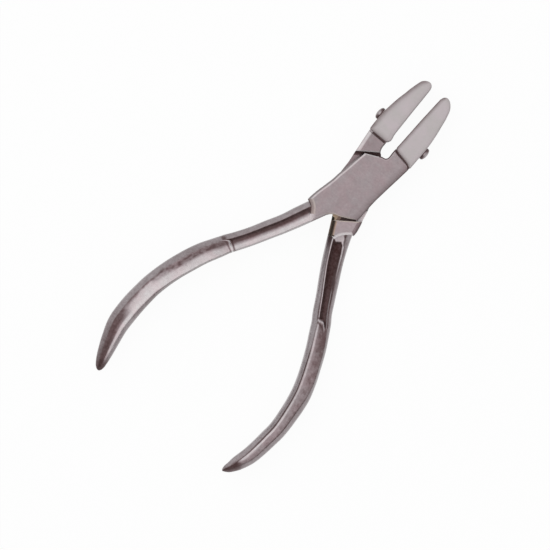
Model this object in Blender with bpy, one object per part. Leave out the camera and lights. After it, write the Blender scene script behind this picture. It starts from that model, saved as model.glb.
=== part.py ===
"""Box-joint optical pliers with two nylon jaw pads.

The tool lies flat on its side. X runs across it, Y from the pivot towards the jaws and Z up.
The origin is on the pivot's axis, on the surface that the tool lies on.
One lever is the box: two cheeks with a window between them. The other passes through that
window as a thin tongue, so each handle works the jaw on its far side.
"""

import math

import bmesh
import bpy
import numpy as np
from mathutils import Vector

# Body of the levers, in metres
BODY_THICKNESS = 0.0090
BOX_HALF_WIDTH = 0.0075
BOX_HALF_LENGTH = 0.0125
OVERRUN = 0.0040

# Box joint
TONGUE_THICKNESS = 0.0032
TONGUE_SIDE_CLEARANCE = 0.0001
TONGUE_WALL_CLEARANCE = 0.0001
TONGUE_JAW_REACH = 0.0067
TONGUE_HANDLE_REACH = 0.0085
TONGUE_EDGE_ANGLE = math.radians(38.0)
SHOULDER_REACH_SHARE = 0.92
SHOULDER_ANGLE = math.radians(36.0)
CLOSED_ANGLE = math.radians(-6.0)
OPEN_ANGLE = math.radians(24.0)

# Pivot rivet, ground flush with both cheeks
RIVET_RADIUS = 0.0025
RIVET_FLARE = 0.0006
RIVET_SEAT_CLEARANCE = 0.00006
RIVET_RUNNING_CLEARANCE = 0.00008
RIVET_SIDES = 48

# Edge bevels of the levers
EDGE_BEVEL = 0.0005
BROAD_BEVEL = 0.0011
NECK_BEVEL = 0.0018
BEVEL_DROP = 0.0006

# Handles
HANDLE_LENGTH = 0.1010
HANDLE_SPREAD = 0.0320
GRIP_WIDTH = 0.0073
GRIP_HEIGHT = 0.0090
FLUTE_DEPTH = 0.0007
FLUTE_TOP_SHARE = 1.328
FLUTE_TOP = FLUTE_TOP_SHARE * BOX_HALF_LENGTH
FLUTE_RUN_IN = 0.0016
COLLAR_DOWN = 0.0417
COLLAR_RUN_OUT = 0.0010
GRIP_CROWN_SHARE = 0.16
TIP_ROUND = 0.0018
TIP_FULLNESS_SHARE = 0.96
HANDLE_RINGS = 42
FLOOR_POINTS = 5

# Steel fingers inside the pads
FINGER_THICKNESS = 0.0048
FINGER_FIT = 0.00015
FINGER_END_GAP = 0.0003

# Nylon pads, whose bases stand just off the steel jaws' ends
PAD_THICKNESS = 0.0090
PAD_EDGE_ROUND = 0.0006
PAD_CORNER_REACH = 0.0010
PAD_BASE_GAP = 0.0005
JAW_END_SHARE = 1.288
PAD_BASE = JAW_END_SHARE * BOX_HALF_LENGTH + PAD_BASE_GAP
PAD_LENGTH = 0.0243
PAD_WIDTH = 0.0078
LEFT_GRIP_OFFSET = 0.0020
RIGHT_GRIP_OFFSET = 0.0013
PAD_WEB = 0.0030

# Pad screws, placed along the pads from their bases
SCREW_HEAD_RADIUS = 0.0021
SCREW_HEAD_HEIGHT = 0.00155
SCREW_SHANK_RADIUS = 0.0010
SCREW_SHANK_LENGTH = 0.0063
SCREW_HOLE_CLEARANCE = 0.0001
SCREW_SEAT_GAP = 0.0003
SCREW_SEAT_MARGIN = 0.0004
SCREW_SLOT_WIDTH = 0.0006
SCREW_SLOT_DEPTH = 0.0006
SCREW_END_CHAMFER = 0.0003
LEFT_SCREW_ALONG = 0.00615
RIGHT_SCREW_ALONG = 0.0052
LEFT_SEAT_OFFSET = 0.0094
RIGHT_SEAT_OFFSET = 0.00865
SCREW_SIDES = 28
HEAD_STEPS = 8
HEAD_RIM_SHARE = 0.34

# Fineness of curved outlines, and angles that several shapes use
RUN_STEPS = 3
EDGE_STEPS = 2
CORNER_STEPS = 4
SHARP_ANGLE = math.radians(24.0)
QUARTER_TURN = math.radians(90.0)
MID_HEIGHT = BODY_THICKNESS / 2

# Outline of the box lever's body: x as shares of the box's half width, y of its half length
BOX_LEFT_SIDE_SHARES = (
    (-0.827, 0.744), (-0.913, 0.440), (-0.995, 0.120), (-1.060, -0.080), (-1.110, -0.304),
    (-1.200, -0.544), (-1.295, -0.784), (-1.357, -1.000), (-1.373, -1.120))
BOX_ROOT_END_SHARES = (
    (-1.373, -1.120), (-1.187, -1.168), (-1.067, -1.224), (-0.987, -1.288), (-0.880, -1.384),
    (-0.733, -1.504), (-0.640, -1.536))
BOX_LOWER_SIDE_SHARES = (
    (-0.640, -1.536), (-0.485, -1.344), (-0.380, -1.216), (-0.295, -1.116), (-0.220, -1.056),
    (-0.133, -1.008), (0.000, -0.964), (0.200, -0.928), (0.400, -0.872), (0.600, -0.808),
    (0.760, -0.752), (0.893, -0.712))
BOX_RIGHT_SIDE_SHARES = (
    (0.893, -0.712), (0.913, -0.480), (0.920, -0.240), (0.943, 0.000), (0.987, 0.240),
    (1.033, 0.480), (1.083, 0.720), (1.131, 0.960), (1.163, 1.144))
BOX_JAW_END_SHARES = (
    (1.163, 1.144), (1.080, 1.192), (0.940, 1.220), (0.667, 1.252), (0.400, 1.272),
    (0.260, 1.296), (0.155, 1.328))
BOX_UPPER_SIDE_SHARES = (
    (0.155, 1.328), (0.140, 1.200), (0.125, 1.104), (0.090, 1.032), (0.020, 0.980),
    (-0.080, 0.952), (-0.267, 0.900), (-0.533, 0.824), (-0.827, 0.744))

# Outline of the tongue lever's body, in the same shares
TONGUE_LEFT_SIDE_SHARES = (
    (-1.247, JAW_END_SHARE), (-1.196, 1.000), (-1.155, 0.800), (-1.130, 0.656),
    (-1.100, 0.520), (-1.060, 0.320), (-1.050, 0.120))
TONGUE_NECK_END_SHARES = (
    (0.293, -1.488), (0.470, -1.472), (0.613, -1.360), (0.760, -1.264), (0.960, -1.192),
    (1.197, -1.152))
TONGUE_RIGHT_SIDE_SHARES = (
    (1.197, -1.152), (1.200, -1.000), (1.173, -0.880), (1.123, -0.736), (1.056, -0.608),
    (1.016, -0.496), (0.973, -0.384), (0.913, -0.240), (0.905, -0.080))
TONGUE_JAW_END_SHARES = (-0.327, JAW_END_SHARE)
TONGUE_CORNER_SHARES = {"left": -1.013, "bottom": -0.093, "right": 0.913, "top": -0.173}

# The tongue lever's inner jaw edge, in shares of the way from its top corner to its jaw end
TONGUE_JAW_INNER_SHARES = (
    (0.00, 0.00), (0.24, 0.10), (0.52, 0.25), (0.70, 0.47), (0.85, 0.78), (1.00, 1.00))

# Handle stations: how far down, how far out and how wide, as shares of the handle's length,
# its spread and the grip's width
LEFT_HANDLE_SHARES = (
    (0.139, 0.186, 0.911), (0.198, 0.273, 0.898), (0.248, 0.347, 0.850), (0.297, 0.432, 0.845),
    (0.347, 0.518, 0.834), (0.396, 0.614, 0.848), (0.416, 0.656, 0.869), (0.446, 0.709, 0.917),
    (0.495, 0.794, 0.978), (0.545, 0.860, 1.010), (0.594, 0.915, 1.005), (0.644, 0.957, 1.004),
    (0.693, 0.984, 1.012), (0.772, 0.999, 1.041), (0.817, 0.996, 1.030), (0.842, 0.988, 0.994),
    (0.891, 0.950, 0.866), (0.941, 0.902, 0.691), (0.965, 0.877, 0.565), (0.983, 0.856, 0.430),
    (0.999, 0.837, 0.330))
RIGHT_HANDLE_SHARES = (
    (0.139, 0.136, 1.090), (0.198, 0.217, 1.008), (0.248, 0.293, 0.966), (0.297, 0.378, 0.934),
    (0.347, 0.466, 0.887), (0.396, 0.551, 0.877), (0.416, 0.594, 0.886), (0.446, 0.646, 0.912),
    (0.495, 0.729, 0.921), (0.545, 0.800, 0.911), (0.594, 0.863, 0.916), (0.644, 0.911, 0.923),
    (0.693, 0.936, 0.890), (0.772, 0.954, 0.836), (0.817, 0.942, 0.825), (0.842, 0.934, 0.811),
    (0.891, 0.911, 0.778), (0.941, 0.861, 0.650), (0.965, 0.831, 0.470), (0.980, 0.805, 0.330),
    (0.990, 0.790, 0.230))
HANDLE_HEIGHT_SHARES = (
    (0.139, 0.930), (0.198, 0.900), (0.298, 0.860), (0.405, 0.840), (0.430, 0.900),
    (0.550, 0.970), (0.680, 1.000), (0.780, 0.980), (0.860, 0.880), (0.920, 0.720),
    (0.960, 0.540), (0.996, 0.240))
LEFT_RIDGE_SHARES = (0.42, -0.70)
RIGHT_RIDGE_SHARES = (0.45, -0.50)
SIDE_SHARES = ((1.00, 0.00), (0.99, 0.28), (0.93, 0.58))

# Pad outlines: x as shares of the pad's width from its gripping face, y of its length from its
# base. A pad's front is its gripping face.
LEFT_PAD_FRONT_SHARES = (
    (-0.050, 0.000), (-0.035, 0.070), (0.006, 0.160), (0.022, 0.346), (0.038, 0.551),
    (0.050, 0.798), (0.058, 0.912))
LEFT_PAD_TIP_SHARES = (
    (0.058, 0.912), (0.090, 0.958), (0.175, 0.990), (0.308, 1.000), (0.462, 0.979),
    (0.577, 0.942), (0.622, 0.909))
LEFT_PAD_BACK_SHARES = (
    (0.622, 0.909), (0.667, 0.860), (0.749, 0.757), (0.797, 0.675), (0.883, 0.551),
    (0.968, 0.366), (0.994, 0.263), (1.000, 0.140), (0.985, 0.000))
LEFT_PAD_BASE_SHARES = ((0.985, 0.000), (-0.050, 0.000))
RIGHT_PAD_FRONT_SHARES = (
    (-0.020, 0.022), (-0.004, 0.140), (0.013, 0.346), (0.031, 0.551), (0.066, 0.798),
    (0.085, 0.912))
RIGHT_PAD_TIP_SHARES = (
    (0.085, 0.912), (0.150, 0.962), (0.285, 0.988), (0.462, 0.971), (0.610, 0.926),
    (0.710, 0.872), (0.776, 0.798))
RIGHT_PAD_BACK_SHARES = (
    (0.776, 0.798), (0.820, 0.737), (0.860, 0.654), (0.912, 0.551), (0.961, 0.428),
    (0.985, 0.325), (0.990, 0.181), (0.988, 0.037), (0.985, -0.075))
RIGHT_PAD_BASE_SHARES = (
    (0.985, -0.075), (0.821, -0.052), (0.731, -0.037), (0.474, -0.020), (0.218, -0.006),
    (-0.020, 0.022))

# Finger outlines on their outer side, in the pads' shares
LEFT_FINGER_SHARES = (
    (0.910, -0.090), (0.940, 0.016), (0.975, 0.140), (0.969, 0.263), (0.925, 0.387),
    (0.846, 0.530), (0.756, 0.654), (0.667, 0.749), (0.560, 0.800), (0.450, 0.806))
RIGHT_FINGER_SHARES = (
    (0.900, -0.130), (0.945, 0.016), (0.970, 0.140), (0.969, 0.263), (0.945, 0.387),
    (0.890, 0.530), (0.835, 0.640), (0.760, 0.740), (0.650, 0.795), (0.500, 0.806))

STEEL_COLOUR = (0.47, 0.44, 0.44)
DARK_STEEL_COLOUR = (0.36, 0.34, 0.34)
NYLON_COLOUR = (0.52, 0.46, 0.47)
LEVER_ROUGHNESS = 0.32
RIVET_ROUGHNESS = 0.38
SCREW_ROUGHNESS = 0.25
NYLON_ROUGHNESS = 0.45


def clear_scene():
    """Remove every object of the scene that the script starts in."""
    for thing in list(bpy.data.objects):
        bpy.data.objects.remove(thing, do_unlink=True)


def principled(name, colour, roughness, metallic):
    """Return a plain material with the given colour, roughness and metallic value."""
    material = bpy.data.materials.new(name)
    material.use_nodes = True
    shader = material.node_tree.nodes["Principled BSDF"]
    shader.inputs["Base Color"].default_value = (*colour, 1.0)
    shader.inputs["Roughness"].default_value = roughness
    shader.inputs["Metallic"].default_value = metallic
    return material


def add_object(name, mesh_data, material=None):
    """Turn a bmesh into an object with outward faces and smooth round stretches."""
    bmesh.ops.recalc_face_normals(mesh_data, faces=mesh_data.faces)
    mesh = bpy.data.meshes.new(name)
    mesh_data.to_mesh(mesh)
    mesh_data.free()
    mesh.shade_smooth()
    mesh.set_sharp_from_angle(angle=SHARP_ANGLE)
    thing = bpy.data.objects.new(name, mesh)
    bpy.context.scene.collection.objects.link(thing)
    if material is not None:
        mesh.materials.append(material)
    return thing


def loft(name, rings, material=None):
    """Skin a row of closed rings of equal length and cap both ends."""
    mesh_data = bmesh.new()
    rows = [[mesh_data.verts.new(point) for point in ring] for ring in rings]
    count = len(rings[0])
    for lower, upper in zip(rows, rows[1:]):
        for start in range(count):
            end = (start + 1) % count
            mesh_data.faces.new((lower[start], lower[end], upper[end], upper[start]))
    mesh_data.faces.new(rows[0][::-1])
    mesh_data.faces.new(rows[-1])
    return add_object(name, mesh_data, material)


def as_helper(thing):
    """Mark an object as a cutter or guide that is no piece of the tool."""
    thing.hide_render = True
    thing.display_type = "WIRE"
    return thing


def combine(target, helper, operation):
    """Join a helper's shape to the target, or cut it away."""
    modifier = target.modifiers.new(helper.name, "BOOLEAN")
    modifier.operation = operation
    modifier.solver = "EXACT"
    modifier.object = as_helper(helper)


def smooth_run(points, steps):
    """Pass a Catmull-Rom curve through the points, with so many steps between each two."""
    points = [np.array(point, dtype=float) for point in points]
    first = points[0] + points[0] - points[1]
    last = points[-1] + points[-1] - points[-2]
    padded = [first, *points, last]
    curve = []
    for before, start, end, after in zip(padded, padded[1:], padded[2:], padded[3:]):
        for step in range(steps):
            t = step / steps
            curve.append(0.5 * (2.0 * start + (end - before) * t
                                + (2.0 * before - 5.0 * start + 4.0 * end - after) * t ** 2
                                + (3.0 * start - before - 3.0 * end + after) * t ** 3))
    curve.append(points[-1])
    return curve


def from_shares(shares, across, along, origin=(0.0, 0.0)):
    """Turn rows of shares into points, from the two sizes that they follow."""
    return [(origin[0] + x * across, origin[1] + y * along) for x, y in shares]


def inset_outline(outline, width):
    """Move the sides of an anticlockwise outline inwards by a width."""
    points = np.array(outline)
    edges = np.roll(points, -1, axis=0) - points
    edges /= np.linalg.norm(edges, axis=1)[:, None]
    inward = np.stack((-edges[:, 1], edges[:, 0]), axis=1)
    before = np.roll(inward, 1, axis=0)
    mitre = (before + inward) / (1.0 + np.sum(before * inward, axis=1))[:, None]
    return points + mitre * width


def rounded_plate(name, outline, low, high, radius, material):
    """Build a flat plate whose upper and lower edges are quarter rounds."""
    rings = []
    for step in range(EDGE_STEPS + 1):
        turn = QUARTER_TURN * step / EDGE_STEPS
        ring = inset_outline(outline, radius * (1.0 - math.sin(turn)))
        rings.append((ring, radius * (1.0 - math.cos(turn))))
    lower = [[(x, y, low + rise) for x, y in ring] for ring, rise in rings]
    upper = [[(x, y, high - rise) for x, y in ring] for ring, rise in reversed(rings)]
    return loft(name, lower + upper, material)


def prism(name, outline, low, high, material=None):
    """Build an upright prism on an outline."""
    rings = [[(x, y, low) for x, y in outline], [(x, y, high) for x, y in outline]]
    return loft(name, rings, material)


def bevel_cutter(name, run, width, level, up):
    """Build the wedge that grinds a bevel along a run of an anticlockwise outline.

    Up is 1 at the upper edge and -1 at the lower. The bevel drops as far as it is wide, up to a
    limit. The wedge follows the middles of the run's steps, so that its edges miss the body's,
    and reaches past the run's ends, and past both of the bevel's edges by its size.
    """
    drop = min(width, BEVEL_DROP)
    points = np.array(run)
    lead_in = points[0] - points[1]
    lead_out = points[-1] - points[-2]
    first = points[0] + lead_in / np.linalg.norm(lead_in) * 2.0 * width
    last = points[-1] + lead_out / np.linalg.norm(lead_out) * 2.0 * width
    points = np.array([first, *((points[1:] + points[:-1]) / 2.0), last])
    tangents = np.gradient(points, axis=0)
    tangents /= np.linalg.norm(tangents, axis=1)[:, None]
    inward = np.stack((-tangents[:, 1], tangents[:, 0]), axis=1) * width
    rings = []
    for (x, y), (in_x, in_y) in zip(points, inward):
        rings.append([(x + 2.0 * in_x, y + 2.0 * in_y, level + up * drop),
                      (x - in_x, y - in_y, level - up * 2.0 * drop),
                      (x - in_x, y - in_y, level + up * drop)])
    return loft(name, rings)


def grind_bevels(body, runs):
    """Grind the bevel of each (points, width) run on both faces of a lever's body."""
    for number, (points, width) in enumerate(runs):
        if width > 0.0:
            for face, level, up in (("upper", BODY_THICKNESS, 1.0), ("lower", 0.0, -1.0)):
                name = f"{body.name}_{face}_bevel_{number}"
                combine(body, bevel_cutter(name, points, width, level, up), "DIFFERENCE")


def turned(name, profile, sides, material=None):
    """Turn a profile of (radius, height) pairs about the Z axis."""
    rings = []
    for radius, height in profile:
        angles = [math.tau * side / sides for side in range(sides)]
        rings.append([(radius * math.cos(a), radius * math.sin(a), height) for a in angles])
    return loft(name, rings, material)


def join_runs(runs):
    """Chain runs of points, each starting where the last ends, into one closed outline."""
    outline = []
    for points in runs:
        outline.extend(points[:-1])
    return outline


def shorten(run, reach):
    """Cut a run off at a reach from its start, measured along it."""
    points = np.array(run)
    steps = np.linalg.norm(np.diff(points, axis=0), axis=1)
    travelled = np.concatenate(([0.0], np.cumsum(steps)))
    start = [np.interp(reach, travelled, points[:, axis]) for axis in (0, 1)]
    return [np.array(start), *points[travelled > reach]]


def corner_curve(start, corner, end):
    """Return the inner points of the parabola that rounds a corner."""
    places = np.linspace(0.0, 1.0, CORNER_STEPS + 1)[1:-1]
    start, corner, end = (np.array(point) for point in (start, corner, end))
    return [start * (1.0 - t) ** 2 + corner * 2.0 * t * (1.0 - t) + end * t ** 2 for t in places]


def close_with_round_corners(first, second, reach):
    """Join two runs that meet at both ends into an outline, and round both corners."""
    trimmed = [shorten(shorten(run, reach)[::-1], reach)[::-1] for run in (first, second)]
    outline = []
    for run, corner, after in ((trimmed[0], second[0], trimmed[1]),
                               (trimmed[1], first[0], trimmed[0])):
        outline.extend([*run, *corner_curve(run[-1], corner, after[0])])
    return outline


def body_run(shares):
    """Return a smooth run of a lever's body outline."""
    return smooth_run(from_shares(shares, BOX_HALF_WIDTH, BOX_HALF_LENGTH), RUN_STEPS)


def easy_table(rows, where):
    """Read a table at the given places, smoothly and without overshooting its values."""
    table = np.array(rows)
    keys = table[:, 0]
    values = table[:, 1]
    spans = np.diff(keys)
    slopes = np.diff(values) / spans
    tangents = np.concatenate(([slopes[0]], np.zeros(len(slopes) - 1), [slopes[-1]]))
    for row in range(1, len(slopes)):
        if slopes[row - 1] * slopes[row] > 0.0:
            near = 2.0 * spans[row] + spans[row - 1]
            far = spans[row] + 2.0 * spans[row - 1]
            tangents[row] = (near + far) / (near / slopes[row - 1] + far / slopes[row])
    index = np.clip(np.searchsorted(keys, where) - 1, 0, len(slopes) - 1)
    t = (where - keys[index]) / spans[index]
    start = values[index] * (2.0 * t ** 3 - 3.0 * t ** 2 + 1.0)
    end = values[index + 1] * (3.0 * t ** 2 - 2.0 * t ** 3)
    lean = tangents[index] * (t ** 3 - 2.0 * t ** 2 + t) + tangents[index + 1] * (t ** 3 - t ** 2)
    return start + end + lean * spans[index]


def ease(value):
    """Blend from 0 to 1 with a level start and end."""
    held = min(max(value, 0.0), 1.0)
    return held * held * (3.0 - 2.0 * held)


def handle_section(half_width, half_height, dip, ridge_shares):
    """Return one handle section as (out, up) pairs.

    Its top and bottom lie between two ridges and sink by the dip, or rise where it is negative.
    """
    outer, inner = ridge_shares
    ridge_height = half_height + min(dip, 0.0)
    top = [(out * half_width, up * half_height) for out, up in SIDE_SHARES]
    for point in range(FLOOR_POINTS + 2):
        t = point / (FLOOR_POINTS + 1)
        out = (outer + (inner - outer) * t) * half_width
        top.append((out, ridge_height - dip * math.sin(math.pi * t)))
    top.extend((-out * half_width, up * half_height) for out, up in reversed(SIDE_SHARES))
    bottom = [(out, -up) for out, up in reversed(top[1:-1])]
    return top + bottom


def handle_dip(down, half_height):
    """Return how deep the panel is at a distance down the handle; a crown counts as negative."""
    flute = FLUTE_DEPTH * ease((down - FLUTE_TOP) / FLUTE_RUN_IN)
    below_collar = ease((down - COLLAR_DOWN) / COLLAR_RUN_OUT)
    return flute * (1.0 - below_collar) - GRIP_CROWN_SHARE * half_height * below_collar


def tip_share(down, end):
    """Return how much of its width and height the handle keeps where its tip is domed."""
    past = max((down - end + TIP_ROUND) / TIP_ROUND, 0.0)
    return math.sqrt(1.0 - past * past * TIP_FULLNESS_SHARE)


def handle_places(first_share, last_share):
    """Return the places of the handle's rings, closer where its panel starts and ends."""
    end = last_share * HANDLE_LENGTH
    spread = np.linspace(first_share * HANDLE_LENGTH, end, HANDLE_RINGS)
    steps = np.linspace(0.0, 1.0, RUN_STEPS + 2)
    run_in = FLUTE_TOP + FLUTE_RUN_IN * steps
    run_out = COLLAR_DOWN + COLLAR_RUN_OUT * steps
    tip = end - TIP_ROUND * (1.0 - np.sin(QUARTER_TURN * steps))
    fixed = np.concatenate((run_in, run_out, tip))
    keep_clear = COLLAR_RUN_OUT / 2
    free = [place for place in spread if np.min(np.abs(fixed - place)) > keep_clear]
    return np.array(sorted([*free, *fixed]))


def handle_loft(name, side, rows, ridge_shares):
    """Loft a handle on the side that -1, left, or 1, right, names."""
    table = np.array(rows)
    downs = handle_places(table[0, 0], table[-1, 0])
    shares = downs / HANDLE_LENGTH
    centres = side * HANDLE_SPREAD * easy_table(table[:, (0, 1)], shares)
    widths = GRIP_WIDTH * easy_table(table[:, (0, 2)], shares)
    heights = GRIP_HEIGHT * easy_table(HANDLE_HEIGHT_SHARES, shares)
    leans = np.gradient(centres, -downs)
    rings = []
    for down, centre, width, height, lean in zip(downs, centres, widths, heights, leans):
        outward = Vector((side, -side * lean, 0.0)).normalized()
        middle = Vector((centre, -down, MID_HEIGHT))
        kept = tip_share(down, downs[-1])
        half_height = kept * height / 2
        dip = handle_dip(down, half_height)
        section = handle_section(kept * width / 2, half_height, dip, ridge_shares)
        rings.append([middle + outward * out + Vector((0.0, 0.0, up)) for out, up in section])
    return loft(name, rings)


def edge_normal(turn):
    """Return the direction square to the tongue's edges, turned with the joint."""
    angle = TONGUE_EDGE_ANGLE + turn
    return np.array((math.cos(angle), math.sin(angle)))


def on_edge(reach, x):
    """Return the point at x on a tongue edge; a negative reach is the handle's side."""
    normal = edge_normal(0.0)
    return np.array((x, (reach - normal[0] * x) / normal[1]))


def window_outline():
    """Return the box's window: all that the tongue sweeps between its closed and open limits.

    Each end wall is two straight faces, one that the tongue meets closed and one open.
    """
    far = BOX_HALF_LENGTH + HANDLE_SPREAD
    outline = []
    for sign, reach in ((1.0, TONGUE_JAW_REACH), (-1.0, TONGUE_HANDLE_REACH)):
        offset = reach + TONGUE_WALL_CLEARANCE
        opened = edge_normal(OPEN_ANGLE)
        closed = edge_normal(CLOSED_ANGLE)
        corner = sign * np.linalg.solve(np.array((opened, closed)), np.array((offset, offset)))
        along_opened = sign * np.array((opened[1], -opened[0]))
        along_closed = sign * np.array((-closed[1], closed[0]))
        outline.extend((corner + along_opened * far, corner, corner + along_closed * far))
    return outline


def shoulder_outline():
    """Return the band between the tongue lever's two shoulders, which its cheek pockets take."""
    normal = np.array((-math.sin(SHOULDER_ANGLE), math.cos(SHOULDER_ANGLE)))
    along = np.array((normal[1], -normal[0]))
    far = BOX_HALF_LENGTH + HANDLE_SPREAD
    reach = SHOULDER_REACH_SHARE * BOX_HALF_LENGTH
    corners = ((-far, -reach), (far, -reach), (far, reach), (-far, reach))
    return [along * run + normal * rise for run, rise in corners]


def box_body(material):
    """Build the solid body of the box lever, before its window is cut."""
    runs = (
        (body_run(BOX_LEFT_SIDE_SHARES), EDGE_BEVEL),
        (body_run(BOX_ROOT_END_SHARES), 0.0),
        (body_run(BOX_LOWER_SIDE_SHARES), EDGE_BEVEL),
        (body_run(BOX_RIGHT_SIDE_SHARES), BROAD_BEVEL),
        (body_run(BOX_JAW_END_SHARES), 0.0),
        (body_run(BOX_UPPER_SIDE_SHARES), 0.0),
    )
    outline = join_runs([points for points, width in runs])
    body = prism("box_lever", outline, 0.0, BODY_THICKNESS, material)
    grind_bevels(body, runs)
    return body


def tongue_body(material):
    """Build the solid body of the tongue lever, before its cheek pockets are cut."""
    corners = {name: share * BOX_HALF_WIDTH for name, share in TONGUE_CORNER_SHARES.items()}
    left = on_edge(-TONGUE_HANDLE_REACH, corners["left"])
    bottom = on_edge(-TONGUE_HANDLE_REACH, corners["bottom"])
    right = on_edge(TONGUE_JAW_REACH, corners["right"])
    top = on_edge(TONGUE_JAW_REACH, corners["top"])
    sizes = (BOX_HALF_WIDTH, BOX_HALF_LENGTH)
    left_side = [*from_shares(TONGUE_LEFT_SIDE_SHARES, *sizes), left]
    neck_end = body_run(TONGUE_NECK_END_SHARES)
    right_side = [*from_shares(TONGUE_RIGHT_SIDE_SHARES, *sizes), right]
    jaw_corner = np.array(from_shares([TONGUE_JAW_END_SHARES], *sizes)[0])
    jaw_inner = from_shares(TONGUE_JAW_INNER_SHARES, *(jaw_corner - top), top)
    runs = (
        (smooth_run(left_side, RUN_STEPS), BROAD_BEVEL),
        ([left, bottom], 0.0),
        ([bottom, neck_end[0]], NECK_BEVEL),
        (neck_end, 0.0),
        (smooth_run(right_side, RUN_STEPS), BROAD_BEVEL),
        ([right, top], 0.0),
        (smooth_run(jaw_inner, RUN_STEPS), 0.0),
        ([jaw_corner, np.array(left_side[0])], 0.0),
    )
    outline = join_runs([points for points, width in runs])
    body = prism("tongue_lever", outline, 0.0, BODY_THICKNESS, material)
    grind_bevels(body, runs)
    return body


def pad_origin(side):
    """Return where the gripping face of a side's pad meets the line of its base."""
    offset = LEFT_GRIP_OFFSET if side < 0 else RIGHT_GRIP_OFFSET
    return (side * offset, PAD_BASE)


def pad_run(shares, side):
    """Return a smooth run of a pad's outline."""
    points = from_shares(shares, side * PAD_WIDTH, PAD_LENGTH, pad_origin(side))
    return smooth_run(points, RUN_STEPS)


def pad_outline(side):
    """Return a pad's anticlockwise outline: up the front, round the tip, down the back, base."""
    if side < 0:
        ways = (LEFT_PAD_FRONT_SHARES, LEFT_PAD_TIP_SHARES, LEFT_PAD_BACK_SHARES)
        base = LEFT_PAD_BASE_SHARES
    else:
        ways = (RIGHT_PAD_FRONT_SHARES, RIGHT_PAD_TIP_SHARES, RIGHT_PAD_BACK_SHARES)
        base = RIGHT_PAD_BASE_SHARES
    runs = [pad_run(shares, side) for shares in ways]
    round_tip = [*join_runs(runs), runs[-1][-1]]
    outline = close_with_round_corners(round_tip, pad_run(base, side), PAD_CORNER_REACH)
    return outline if side < 0 else outline[::-1]


def finger_outline(side):
    """Return the steel finger's outline: curved on its outer side, straight on its inner."""
    shares = LEFT_FINGER_SHARES if side < 0 else RIGHT_FINGER_SHARES
    outer = pad_run(shares, side)
    inner_x = pad_origin(side)[0] + side * PAD_WEB
    return [*outer, (inner_x, outer[-1][1]), (inner_x, outer[0][1])]


def finger(name, side):
    """Build the steel finger that carries a pad."""
    half = FINGER_THICKNESS / 2
    return prism(name, finger_outline(side), MID_HEIGHT - half, MID_HEIGHT + half)


def channel(name, side):
    """Build the cutter for the channel in a pad that takes its finger, open at back and base."""
    half = FINGER_THICKNESS / 2 + FINGER_FIT
    face_x, base = pad_origin(side)
    inner_x = face_x + side * (PAD_WEB - FINGER_END_GAP)
    outer_x = face_x + side * (PAD_WIDTH + OVERRUN)
    low = base - OVERRUN
    high = max(y for x, y in finger_outline(side)) + FINGER_END_GAP
    outline = [(inner_x, low), (outer_x, low), (outer_x, high), (inner_x, high)]
    return prism(name, outline, MID_HEIGHT - half, MID_HEIGHT + half)


def pad(name, side, material):
    """Build a nylon pad: a rounded block with a channel over the finger and a blind screw hole."""
    half = PAD_THICKNESS / 2
    outline = pad_outline(side)
    body = rounded_plate(name, outline, MID_HEIGHT - half, MID_HEIGHT + half, PAD_EDGE_ROUND,
                         material)
    combine(body, channel(name + "_channel", side), "DIFFERENCE")
    combine(body, screw_hole(name + "_hole", side), "DIFFERENCE")
    return body


def screw_place(side):
    """Return the centre of a screw's seat on the outer side of its finger."""
    seat = LEFT_SEAT_OFFSET if side < 0 else RIGHT_SEAT_OFFSET
    along = LEFT_SCREW_ALONG if side < 0 else RIGHT_SCREW_ALONG
    return Vector((side * seat, PAD_BASE + along, MID_HEIGHT))


def turn_outwards(thing, side, place):
    """Lay a turned piece down so that its top points outwards on its side."""
    thing.rotation_euler = (0.0, side * QUARTER_TURN, 0.0)
    thing.location = place


def screw_hole(name, side):
    """Build the cutter for a screw's hole, with a flat seat for the head."""
    hole = SCREW_SHANK_RADIUS + SCREW_HOLE_CLEARANCE
    seat = SCREW_HEAD_RADIUS + SCREW_SEAT_MARGIN
    bottom = SCREW_SEAT_GAP - SCREW_SHANK_LENGTH - SCREW_SEAT_MARGIN
    profile = ((hole, bottom), (hole, 0.0), (seat, 0.0), (seat, OVERRUN))
    cutter = turned(name, profile, SCREW_SIDES)
    turn_outwards(cutter, side, screw_place(side))
    return cutter


def screw(name, side, material):
    """Build a pad screw: a domed, slotted head on a plain shank."""
    head = []
    for step in range(HEAD_STEPS + 1):
        turn = QUARTER_TURN * step / HEAD_STEPS
        radius = SCREW_HEAD_RADIUS * math.cos(turn)
        height = SCREW_HEAD_HEIGHT * (HEAD_RIM_SHARE + (1.0 - HEAD_RIM_SHARE) * math.sin(turn))
        head.append((max(radius, SCREW_END_CHAMFER), height))
    tip = SCREW_SHANK_RADIUS - SCREW_END_CHAMFER
    profile = [(tip, -SCREW_SHANK_LENGTH),
               (SCREW_SHANK_RADIUS, SCREW_END_CHAMFER - SCREW_SHANK_LENGTH),
               (SCREW_SHANK_RADIUS, 0.0), (SCREW_HEAD_RADIUS, 0.0), *head]
    piece = turned(name, profile, SCREW_SIDES, material)
    place = screw_place(side) + Vector((side * SCREW_SEAT_GAP, 0.0, 0.0))
    turn_outwards(piece, side, place)
    half = SCREW_SLOT_WIDTH / 2
    long = SCREW_HEAD_RADIUS + OVERRUN
    slot = [(-half, -long), (half, -long), (half, long), (-half, long)]
    cutter = prism(name + "_slot", slot, SCREW_HEAD_HEIGHT - SCREW_SLOT_DEPTH, OVERRUN)
    turn_outwards(cutter, side, place)
    combine(piece, cutter, "DIFFERENCE")
    return piece


def rivet_profile(gap):
    """Return the rivet's profile, let out by a gap: a pin with a flare at each flush end."""
    pin = RIVET_RADIUS + gap
    flare = pin + RIVET_FLARE
    return ((flare, 0.0), (pin, RIVET_FLARE), (pin, BODY_THICKNESS - RIVET_FLARE),
            (flare, BODY_THICKNESS))


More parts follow.
